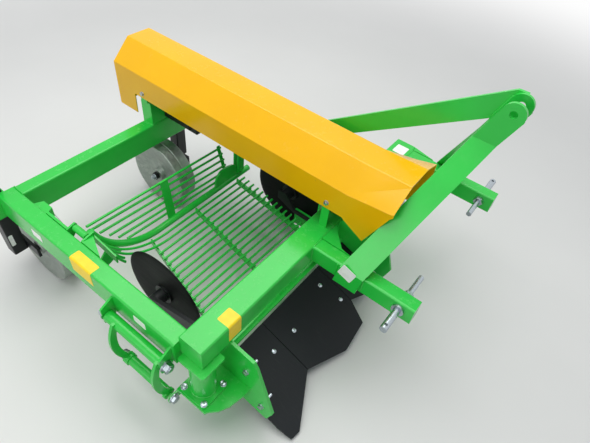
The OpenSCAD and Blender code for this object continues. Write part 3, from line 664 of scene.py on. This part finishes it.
def weld_bead(corners: Sequence[Point], flat: Point, radius: float = 3.6,
              loop: bool = False) -> Shell:
    """Weld bead laid along a broken line.

    At length s along the line the bead's radius is radius · (0.86 + 0.14 · |sin(pi s / 5 mm)|), the
    scale ripples of a hand weld, and it falls to nothing over the last 5 mm at each open end. Round
    the line the point at angle a is middle + radius · (cos a · n + sin a · b), n the flat
    direction.

    Args:
        corners: corners of the line.
        flat: direction across the plane that the line lies in.
        radius: half the bead's width.
        loop: the line closes on itself.

    Returns:
        The bead's surface.
    """
    ripple, step, around = 5.0, 1.7, 7
    line = np.asarray(list(corners) + ([corners[0]] if loop else []), float)
    lengths = np.concatenate([[0.0], np.cumsum(np.linalg.norm(np.diff(line, axis=0), axis=1))])
    s = np.linspace(0.0, lengths[-1], max(int(lengths[-1] / step), 8), endpoint=not loop)
    middle = np.stack([np.interp(s, lengths, line[:, k]) for k in range(3)], 1)
    n = unit(flat)
    b = np.cross(unit(np.roll(middle, -1, 0) - np.roll(middle, 1, 0) if loop
                      else np.gradient(middle, axis=0)), n)
    size = radius * (0.86 + 0.14 * np.abs(np.sin(np.pi * s / ripple)))
    if not loop:
        edge = np.minimum(s, lengths[-1] - s) / ripple
        size = size * np.sqrt(np.clip(1 - (1 - np.clip(edge, 0, 1)) ** 2, 0, 1))
    a = angles(around)[None, :, None]
    across = np.cos(a) * n + np.sin(a) * b[:, None]
    return grid(middle[:, None] + size[:, None, None] * across, wrap_u=loop, wrap_v=True)


def circle(middle: Point, radius: float, along: Point) -> list[Array]:
    """Returns 24 corners of a circle about an axis."""
    return list(turned(np.zeros((1, 1)), np.full((1, 24), radius), middle, along).points)


@dataclass
class Cover:
    """Folded sheet cover over the drive shaft, with a deeper skirt behind and a flared front."""

    right: float = -300.0
    left: float = 8.0
    back: float = -1600.0
    low: float = 139.0
    skirt_low: float = 39.0
    skirt: float = 118.0
    shoulder: float = 251.0
    top: float = 339.0
    flat: tuple[float, float] = (-207.0, -85.0)
    sheet: float = 4.0
    fold: float = 9.0
    shoulder_fold: float = 3.5
    fold_steps: int = 12
    flare_from: float = -340.0
    flare: float = 183.0
    flare_top: float = 344.5

    def section(self, x: float, low: Point, shoulders: Point, top: Point) -> Array:
        """Section of the sheet from the right wall's foot over the top to the left wall's foot.

        Ahead of the last fold the right slope has a crease that climbs from the shoulder to the
        flat top: its share of the slope is 0.04 + 0.92 · (x + 340) / 183, so the flared corner is
        one flat triangle. Behind the fold the share stays at 0.04.

        Args:
            x: place of the section.
            low: heights of the right and left walls' feet.
            shoulders: right and left shoulder heights.
            top: right and left heights of the flat top.

        Returns:
            The rounded section's (x, y, z) points.
        """
        start = np.array([self.right, self.shoulder])
        end = np.array([self.flat[0], self.flare_top if x > self.flare_from else top[0]])
        climb = float(np.clip((x - self.flare_from) / self.flare, 0.0, 1.0))
        crease = start + (0.04 + 0.92 * climb) * (end - start)
        corners = [[self.right, low[0]], [self.right, shoulders[0]], [self.flat[0], top[0]],
                   [self.flat[1], top[1]], [self.left, shoulders[1]], [self.left, low[1]]]
        radii = [0, self.shoulder_fold, self.fold, self.fold, self.fold, 0]
        outline = rounded(corners, radii, self.fold_steps, loop=False)
        # The crease is one point after the foot and the right shoulder's arc.
        outline = np.insert(outline, 1 + self.fold_steps, crease, axis=0)
        return np.insert(outline, 0, x, axis=1)

    def stations(self) -> Array:
        """Sections from the back edge to the lip, flaring ahead of the last fold.

        Below the lip the right wall is cut back on a slant, and the left wall stays deep.

        Returns:
            Array of sections by points by 3.
        """
        plain = ((self.shoulder, self.shoulder), (self.top, self.top))
        skirt, low = (self.skirt_low, self.skirt_low), (self.low, self.low)
        step = self.back + self.skirt
        rows = [(x, skirt, *plain) for x in (self.back, step)]
        rows += [(x, low, *plain) for x in (step + 0.5, -1100.0, -700.0, -352.0, self.flare_from)]
        rows += [(-328.0, (130.0, 132.0), (252.0, 254.0), (339.3, 339.3)),
                 (-240.0, (84.0, 94.0), (264.0, 292.0), (342.0, 342.0)),
                 (-166.0, (252.0, 104.0), (272.0, 312.0), (344.0, 345.0)),
                 (-157.0, (262.0, 112.0), (276.0, 315.0), (344.5, 345.5))]
        return np.stack([self.section(*row) for row in rows])

    def build(self) -> None:
        """Thickens the sheet inwards and closes its rims.

        Each inner point is its outer point moved by the sheet's thickness against the normal.
        """
        outer = self.stations()
        along = np.gradient(outer[:, :, 1:], axis=1)
        normal = unit(np.stack([-along[..., 1], along[..., 0]], -1))
        inner = outer.copy()
        inner[..., 1:] += self.sheet * normal * np.sign(normal[:, 0, 0])[:, None, None]
        sides = grid(np.concatenate([outer, inner[:, ::-1]], axis=1), wrap_v=True)
        ends = [grid(np.stack([outer[k], inner[k]])) for k in (0, -1)]
        make_piece("folded_cover", [sides, *ends], YELLOW, 6.0, ["cover"])
        self.back_wall()
        self.bolts()

    def back_wall(self) -> None:
        """Flat plate that closes the cover's back end, 1 to 3 mm inside its outline.

        Each of its two faces runs from the section's outline to a line at half width, so the plate
        is made of strips between the right and left halves of the outline.
        """
        y = [self.right, self.right, *self.flat, self.left, self.left]
        z = [self.skirt_low, self.shoulder, self.top, self.top, self.shoulder, self.skirt_low]
        inset = np.array([[3, 0], [3, -1], [1, -3], [-1, -3], [-3, -1], [-3, 0]], float)
        line = np.column_stack([y, z]) + inset
        halves = line[:3], line[:2:-1]
        rear, front = (np.stack([np.insert(half, 0, x, axis=1) for half in halves], 1)
                       for x in (self.back + 0.5, self.back + self.sheet))
        plate = bar(np.concatenate([rear, front[:, ::-1]], axis=1))
        make_piece("cover_back_wall", plate, YELLOW, 24.0)

    def bolts(self) -> None:
        """Bolts through the walls into the tabs on both beams."""
        ends = [Fastener((x, y, z), (0, side, 0), 10)
                for y, side in ((self.right, -1), (self.left, 1))
                for x, z in ((-1426.0, 163.0), (-413.0, 165.0))]
        make_piece("cover_bolts", [end.shell() for end in ends], ZINC)


@dataclass
class RearBrace:
    """Flat brace from the left mast bar down to the spine, cut round the top-link hole."""

    right: float = 42.02
    left: float = 54.02

    def build(self) -> None:
        """Builds the bar from pairs of points on its upper and lower edges.

        The upper edge runs on to the ring's height and levels out there. The lower edge bends up
        and follows the hole at 20 mm from its middle, so the pin stays free.
        """
        high = np.array([(-850, 109), (-35, 659), (-28, 663.7), (-22, 667), (-12, 667.4),
                         (0, 667.5), (12, 667.5)])
        low = np.array([(-790, 72), (-35, 563), (-20, 603), (-13.7, 625), (-12, 638),
                        (-2, 649), (12, 651)])
        place = ((high, self.right), (high, self.left), (low, self.left), (low, self.right))
        around = np.stack([np.insert(line, 1, y, axis=1) for line, y in place], 1)
        make_piece("rear_brace_bar", bar(around), GREEN, 24.0, ["rear_brace"])


@dataclass
class DrumWheel:
    """Hollow drum depth wheel: rolled rim, raised weld ring, two dished faces and a long hub."""

    name: str
    y: float
    body: Body
    post: Body
    nut_side: float
    x: float = -1409.0
    z: float = -309.0
    radius: float = 181.0
    width: float = 96.0
    bore: float = 12.6
    hub: float = 34.0
    dish: float = 25.0

    def profile(self) -> Array:
        """Half section of the drum.

        Returns:
            Closed loop of (height along the axle, radius) points.
        """
        h, r = self.width / 2, self.radius - 5.0
        half = [[4, r], [h, r], [h, r - 10], [h - 3, 150], [h - self.dish + 4, 86],
                [h - self.dish, self.hub], [h + 2, self.hub - 2], [h + 2, self.bore]]
        other = [[-height, radius] for height, radius in half[::-1]]
        corners = other + [[-3, self.radius], [3, self.radius]] + half
        arcs = [1, 4, 3, 14, 10, 5, 2, 1]
        return rounded(corners, arcs[::-1] + [1, 1] + arcs, 4)

    def build(self) -> None:
        """Builds the drum, its hub weld beads, and the axle's washer and nut."""
        drum = lathe(self.profile(), (self.x, self.y, self.z), LEFT, 72, ring=True)
        face = self.width / 2 - self.dish + 0.5
        rings = (circle((self.x, self.y + side * face, self.z), self.hub + 0.5, LEFT)
                 for side in (-1, 1))
        beads = [weld_bead(ring, LEFT, 2.6, True) for ring in rings]
        make_piece(self.name + "_drum", [drum, *beads], DRUM, 30.0, ["wheel_" + self.name],
                   self.body)
        outward = math.copysign(1.0, self.nut_side - self.y)
        nut = Fastener((self.x, self.nut_side, self.z), (0, outward, 0), 14, Head.NUT, 5)
        make_piece(self.name + "_axle_bolt", [nut.shell()], ZINC, body=self.post)


@dataclass
class CoulterDisc:
    """Plain round coulter that cuts the ridge's side: a flat steel disc with a ground edge."""

    name: str
    y: float
    body: Body
    x: float = -812.0
    z: float = -283.0
    radius: float = 207.0
    thick: float = 5.0
    bore: float = 16.6
    bevel: float = 20.0
    edge: float = 1.2

    def build(self) -> None:
        """Builds the disc, bevelled from both faces to its cutting edge."""
        h, e, r = self.thick / 2, self.edge / 2, self.radius
        corners = [[-h, self.bore], [-h, r - self.bevel], [-e, r], [e, r], [h, r - self.bevel],
                   [h, self.bore]]
        profile = rounded(corners, [0.4, 6, 0.4, 0.4, 6, 0.4], 3)
        disc = lathe(profile, (self.x, self.y, self.z), LEFT, 96, ring=True)
        make_piece(self.name + "_coulter", [disc], DISC_BLACK_AND_SHADE, 30.0, ["disc_" + self.name],
                   self.body)


@dataclass
class DriveShaft:
    """Turned shaft under the cover with a six-spline stub for the tractor's cardan shaft."""

    y: float = -146.0
    z: float = 200.0
    radius: float = 19.0
    land: float = 17.4
    groove: float = 15.0
    lock: float = 14.6
    tip: float = 2.2
    steps: int = 96

    def build(self) -> None:
        """Builds the plain shaft, its collars and the splined stub.

        On the stub the radius at angle a is 15 + 2.4 · (0.5 + 0.5 · (6 cos 6a + 1)) mm with the
        inner bracket held to -1 to 1, which makes six lands of 17.4 mm. A groove of 14.6 mm runs
        round it for the lock of the cardan shaft, and the tip is 2.2 mm smaller.
        """
        lands = 0.5 + 0.5 * np.clip(np.cos(6 * angles(self.steps)) * 6.0 + 1.0, -1, 1)
        spline = self.groove + (self.land - self.groove) * lands
        r, none = self.radius, np.zeros_like(spline)
        plain = np.array([
            (-1264, 0.0), (-1264, r - 2), (-1262, r), (-1230, r), (-1230, 33), (-1229, 34),
            (-1175, 34), (-1174, 33), (-1174, r), (-484, r), (-484, 29), (-483, 30), (-467, 30),
            (-466, 29), (-466, r), (-398, r), (-398, 29), (-397, 30), (-381, 30), (-380, 29),
            (-380, self.land), (-272, self.land)])
        stub_x = np.array([-268.0, -226, -224, -216, -214, -188, -185, -185])[:, None]
        lock = none + self.lock
        stub = np.stack([spline, spline, lock, lock, spline, spline, spline - self.tip, none])
        radii = np.concatenate([np.repeat(plain[:, 1:], self.steps, 1), stub])
        heights = np.concatenate([plain[:, :1], stub_x])
        shaft = turned(heights, radii, (0.0, self.y, self.z), AHEAD)
        make_piece("splined_drive_shaft", [shaft], STEEL, 32.0, ["drive_shaft"], Body.SHAFT)


@dataclass
class FrameWelds:
    """Beads where the frame's tubes and plates are welded together."""

    top: float = 35.0
    low_top: float = 4.0
    tube_front: float = -375.0
    tube_back: float = -475.0
    arm: tuple[float, float] = (347.0, 407.0)

    def build(self) -> None:
        """Lays the beads of the tube joints, hitch arms, spine, post and brace."""
        t, m, f, b = self.top, self.low_top, self.tube_front, self.tube_back
        beads = [
            weld_bead([(b, -983, m), (b, -944, m), (b, -936, m - 8), (b, -936, -65)], AHEAD),
            weld_bead([(-1458, -936, m), (-1394, -936, m), (-1394, -936, -116)], LEFT),
            weld_bead([(-437, -38, t), (-437, 42, t)], UP),
            *(weld_bead([(-437, y, t), (b, y, t)], UP) for y in (-38, 42)),
            weld_bead([(-1394, -38, 35), (-1394, -38, 120), (-1394, 42, 120)], AHEAD),
            weld_bead([(-1458, -290, m), (-1394, -290, m)], UP),
            weld_bead([(-1394, -290, m), (-1394, -38, m)], UP),
            *(weld_bead(circle((-408, -956, z), 46, UP), UP, radius, True)
              for z, radius in ((-76, 3.4), (-265, 3.8))),
            weld_bead([(-716, 42, 120), (-790, 42, 72), (-850, 42, 109), (-834, 42, 120)], LEFT),
            weld_bead([(-62, 42, 550), (-27, 42, 646)], LEFT, 3.0),
            weld_bead([(-56, 42, 549), (-35, 42, 562), (-19, 42, 603), (-13, 42, 625)], LEFT, 3.0),
        ]
        for side in (-1, 1):
            inner, outer, plate = side * self.arm[0], side * self.arm[1], side * (self.arm[1] + 1)
            over = [(inner, -45), (inner, 27), (inner + side * 8, t), (outer - side * 8, t),
                    (outer, 27), (outer, -45)]
            beads.append(weld_bead([(f, *point) for point in over], AHEAD))
            beads += [weld_bead([(x, plate, -30), (x, plate, 30)], LEFT, 3.0) for x in (-263, -150)]
        make_piece("frame_weld_beads", beads, GREEN, 60.0)


@dataclass
class FrameBolts:
    """Bolts and nuts of the post flange, side plate, front rocker, shaft bearing and shares."""

    post: Point = (-408.0, -956.0)
    spread: float = 48.0
    share_tilt: float = 19.0
    share_plate: float = 10.0
    rocker_y: float = -1037.0

    def share_bolts(self) -> list[Fastener]:
        """Domed plough bolts on the shares, square to the sloping blades.

        A point at (x, y) on the share's upper face has the height -399 - (x + 330) · tan(tilt) + 10
        mm of plate, taken upright through the tilt.

        Returns:
            The bolts.
        """
        tilt = math.radians(self.share_tilt)
        over = self.share_plate / math.cos(tilt)
        return [Fastener((x, y, -399 - (x + 330) * math.tan(tilt) + over),
                         (math.sin(tilt), 0.0, math.cos(tilt)), 12, Head.DOME)
                for x, y in ((-381, -256), (-276, -232), (-334, -509), (-337, -639))]

    def build(self) -> None:
        """Places every fastener. The nuts at the front rocker's feet shake with the sieve."""
        corners = [(self.post[0] + i * self.spread, self.post[1] + j * self.spread)
                   for i in (-1, 1) for j in (-1, 1)]
        bolts = [Fastener((x, y, -266), UP) for x, y in corners]
        bolts += [Fastener((x, y, -290), (0, 0, -1), head=Head.NUT) for x, y in corners]
        spots = ((-302, -179), (-224, -346))
        bolts += [Fastener((x, -856, z), (0, -1, 0)) for x, z in spots]
        bolts += [Fastener((x, -844, z), LEFT, 12, Head.NUT, 34) for x, z in spots]
        bolts += [Fastener((x, self.rocker_y, -98), (ahead, 0, 0), 22, Head.NUT, 4)
                  for x, ahead in ((-490, 1), (-785, -1))]
        bolts += [Fastener((-432, y, 51), UP, head=Head.NUT) for y in (-196, -96)]
        make_piece("frame_bolts", [bolt.shell() for bolt in bolts], ZINC)
        feet = [Fastener((x, self.rocker_y, -338), (ahead, 0, 0), 19)
                for x, ahead in ((-483, 1), (-740, -1))]
        make_piece("rocker_foot_nuts", [foot.shell() for foot in feet], ZINC, body=Body.SIEVE)
        make_piece("share_bolts", [bolt.shell() for bolt in self.share_bolts()], ZINC)


@dataclass
class Sticker:
    """Blank sticker laid over a flat face or folded over a tube's edge."""

    name: str
    film: Finish
    path: Sequence[Point]
    along: Point
    length: float
    body: Body = Body.FRAME
    edge: float = 8.4
    corner: float = 5.0
    thick: float = 0.5

    def build(self) -> None:
        """Builds the film.

        Its middle line follows the path with the tube's own edge radius. Across the path the half
        width is length / 2, less corner - sqrt(corner² - (corner - e)²) within one corner radius of
        each end, where e is the distance to the end, which rounds the four corners.
        """
        u, v, w = axes(self.along)
        path = np.asarray(self.path, float)
        flat = np.stack([path @ u, path @ v], 1)
        depth = float(path[0] @ w)
        line = rounded(flat, self.edge, 6, loop=False) if len(flat) > 2 else flat
        steps = np.concatenate([[0.0], np.cumsum(np.linalg.norm(np.diff(line, axis=0), axis=1))])
        ease = (1 - np.cos(np.linspace(0.0, np.pi, 9))) / 2 * self.corner
        between = steps[(steps > self.corner) & (steps < steps[-1] - self.corner)]
        s = np.unique(np.concatenate([ease, between, steps[-1] - ease]))
        curve = np.stack([np.interp(s, steps, line[:, k]) for k in range(2)], 1)
        run = unit(np.gradient(curve, axis=0))
        out = np.stack([run[:, 1], -run[:, 0]], 1)
        e = np.clip(np.minimum(s, steps[-1] - s), 0.0, self.corner)
        cut = self.corner - np.sqrt(np.clip(self.corner**2 - (self.corner - e) ** 2, 0, None))
        half = self.length / 2 - cut
        rows = []
        for side, lift in ((-1, self.thick), (1, self.thick), (1, -self.thick), (-1, -self.thick)):
            spot = curve + out * lift
            rows.append(spot[:, :1] * u + spot[:, 1:] * v + (depth + side * half)[:, None] * w)
        sides = np.stack(rows)
        ends = [grid(sides[[[0, 1], [3, 2]], k]) for k in (0, -1)]
        make_piece(self.name, [grid(sides, wrap_u=True), *ends], self.film, 40.0, body=self.body)


STICKERS = [
    Sticker("side_beam_yellow_sticker", YELLOW_FILM,
            [(-945, -965, 4.2), (-945, -1006.2, 4.2), (-945, -1006.2, -66)], AHEAD, 116),
    Sticker("front_beam_yellow_sticker", YELLOW_FILM,
            [(-428, -833, 35.2), (-374.8, -833, 35.2), (-374.8, -833, -48)], LEFT, 58),
    Sticker("side_beam_white_sticker_rear", WHITE_FILM,
            [(-1218, -1006.2, -30), (-1218, -1006.2, -66)], AHEAD, 60),
    Sticker("side_beam_white_sticker_front", WHITE_FILM,
            [(-640, -1006.2, -20), (-640, -1006.2, -55)], AHEAD, 58),
    Sticker("front_beam_white_sticker", WHITE_FILM, [(-450, 365, 35.2), (-392, 365, 35.2)],
            LEFT, 66),
    Sticker("mast_foot_sticker", WHITE_FILM,
            [(-242.5, -419.2, 33.3), (-185.5, -419.2, 14.7)], (0.31, 0, 0.95), 60),
    Sticker("wheel_post_sticker", WHITE_FILM,
            [(-1462.8, -1037, -250), (-1462.8, -1020, -250)], UP, 62, Body.RIGHT_POST),
]


@dataclass
class SieveWelds:
    """Small weld blobs that fix the bed rods to the bars of the shaking sieve."""

    rods: int = 15
    pitch: float = 31.6
    rear: float = -1085.0
    first: float = -985.0
    height: float = -269.0
    slope: float = 10.0
    bars: Sequence[Point] = ((-620.0, 0.22), (-350.0, 0.09), (-60.0, 0.0))
    beside: float = 5.0
    below: float = 4.2

    def build(self) -> None:
        """Puts a blob on both sides of every rod at the right, middle and left bars.

        Each bar is given by its place at the rear and its taper. A blob is a flattened ball: height
        3.2 · cos t and radius 6 · sin t about an upright axis.
        """
        at = self.first + self.pitch * np.arange(self.rods)
        z = self.height - (at - self.rear) * math.tan(math.radians(self.slope)) - self.below
        t = np.linspace(0.0, np.pi, 5)
        blob = lathe(np.stack([3.2 * np.cos(t), 6.0 * np.sin(t)], 1), (0, 0, 0), UP, 8)
        starts = (np.arange(self.rods) * len(blob.points))[:, None, None]
        faces = (blob.faces[None] + starts).reshape(-1, 4)
        blobs = []
        for place, taper in self.bars:
            y = place - taper * (at - self.rear) + 4.0
            for side in (-1.0, 1.0):
                spots = np.stack([at + side * self.beside, y, z], 1)
                blobs.append(Shell((spots[:, None] + blob.points[None]).reshape(-1, 3), faces))
        make_piece("rod_weld_blobs", blobs, GREEN, 60.0, body=Body.SIEVE)


@dataclass
class Studio:
    """Soft daylight studio: pale floor, white surround, a large lamp overhead and a weaker one."""

    floor_size: float = 16.0
    floor_fades: tuple[float, float] = (2.4, 5.5)
    target: Point = (0.0, 0.0, 0.3)
    key_power: float = 185.0
    fill_power: float = 62.0
    sky: float = 0.33
    eye: Point = (0.930726, -1.14238, 1.848599)
    right: Point = (0.78850801, 0.60690878, 0.09958341)
    up: Point = (-0.49709383, 0.53355866, 0.68426083)
    forward: Point = (-0.36215031, 0.58904744, -0.72240588)
    lens: float = 28.66
    sensor: float = 36.0

    def floor_paint(self) -> bpy.types.Material:
        """Pale matt floor paint, mottled over about 700 mm.

        Far from the middle, where the camera sees it, it turns into the white surround.

        Returns:
            The material.
        """
        material = bpy.data.materials.new("pale_floor_paint")
        n = Nodes(material)
        cloud = n.add("TexNoise", {"Scale": 1.4, "Detail": 4.0})
        tone = n.add("Mix", {0: cloud, 6: "dcdcd8", 7: "e4e4e0"}, **COLOURS)
        paint = n.add("BsdfPrincipled", {"Base Color": tone, "Roughness": 0.7})
        level = n.add("VectorMath", {0: n.place, 1: (1.0, 1.0, 0.0)}, **TIMES)
        reach = n.add("VectorMath", {0: level}, "Value", operation="LENGTH")
        far = n.add("MapRange", {0: reach, 1: self.floor_fades[0], 2: self.floor_fades[1]}, **SOFT)
        far = n.add("Math", {0: far, 1: n.seen}, **TIMES)
        white = n.add("Emission", {"Color": "ffffff", "Strength": 1.0})
        both = n.add("MixShader", {0: far, 1: paint, 2: white})
        n.add("OutputMaterial", {"Surface": both})
        return material

    def floor(self) -> None:
        """Level floor that keeps the object's shadow."""
        edge = np.linspace(-self.floor_size / 2, self.floor_size / 2, 9)
        x, y = np.meshgrid(edge, edge, indexing="ij")
        shell = grid(np.stack([x, y, np.zeros_like(x)], -1))
        mesh = bpy.data.meshes.new("floor")
        mesh.from_pydata(shell.points.tolist(), [], shell.faces.tolist())
        mesh.materials.append(self.floor_paint())
        put("floor", mesh)

    def lamp(self, name: str, place: Point, size: float, power: float) -> None:
        """Adds one square soft lamp that faces the object.

        Args:
            name: the lamp's name.
            place: where it hangs, in metres.
            size: its side in metres.
            power: its power in watts.
        """
        data = bpy.data.lights.new(name, "AREA")
        data.size = size
        data.energy = power
        lamp = put(name, data)
        lamp.location = place
        look = Vector(self.target) - Vector(place)
        lamp.rotation_euler = look.to_track_quat("-Z", "Y").to_euler()

    def surround(self) -> None:
        """Even sky light on the object, plain white where the camera or a mirror looks at it."""
        world = bpy.data.worlds.new("surround")
        n = Nodes(world)
        sky = n.add("Background", {"Color": "eef4ff", "Strength": self.sky})
        white = n.add("Background", {"Color": "ffffff", "Strength": 1.0})
        both = n.add("MixShader", {0: n.seen, 1: sky, 2: white})
        n.add("OutputWorld", {"Surface": both})
        bpy.context.scene.world = world

    def camera(self) -> None:
        """Camera at the photograph's place, fitted to the straight tubes of the frame."""
        data = bpy.data.cameras.new("camera")
        data.sensor_fit = "HORIZONTAL"
        data.sensor_width = self.sensor
        data.lens = self.lens
        camera = put("camera", data)
        turn = Matrix((self.right, self.up, [-c for c in self.forward])).transposed()
        camera.matrix_world = Matrix.Translation(Vector(self.eye)) @ turn.to_4x4()
        bpy.context.scene.camera = camera

    def build(self) -> None:
        """Sets up the floor, lamps, surround, camera and plain colour."""
        self.floor()
        self.lamp("overhead_lamp", (-0.6, 0.3, 4.4), 4.6, self.key_power)
        self.lamp("right_lamp", (-0.4, -4.8, 2.3), 2.8, self.fill_power)
        self.surround()
        self.camera()
        bpy.context.scene.view_settings.view_transform = "Standard"


def dress_nodes() -> None:
    """Gives every solid of the frame the finish of its slot, and the blades their own."""
    for part in frame["record"]["subparts"]:
        name = part["node"]
        finish = NODE_FINISH.get(name, SLOT_FINISH[part["material_slot"]])
        piece = frame["nodes"][name]
        if not piece.material_slots:
            piece.data.materials.append(finish.material())
        for held in piece.material_slots:
            held.material = finish.material()
        log.info("%s: %s", name, finish.name)


def main() -> None:
    """Builds the studio and every sub-assembly in order."""
    logging.basicConfig(level=logging.INFO, format="%(message)s")
    Studio().build()
    dress_nodes()
    Cover().build()
    RearBrace().build()
    DrumWheel("right", -912.0, Body.RIGHT_WHEEL, Body.RIGHT_POST, -844.0).build()
    DrumWheel("left", -245.0, Body.LEFT_WHEEL, Body.LEFT_POST, -313.0).build()
    CoulterDisc("right", -775.0, Body.RIGHT_DISC).build()
    CoulterDisc("left", 64.0, Body.LEFT_DISC).build()
    DriveShaft().build()
    FrameWelds().build()
    FrameBolts().build()
    SieveWelds().build()
    for sticker in STICKERS:
        sticker.build()


if __name__ == "__main__":
    main()
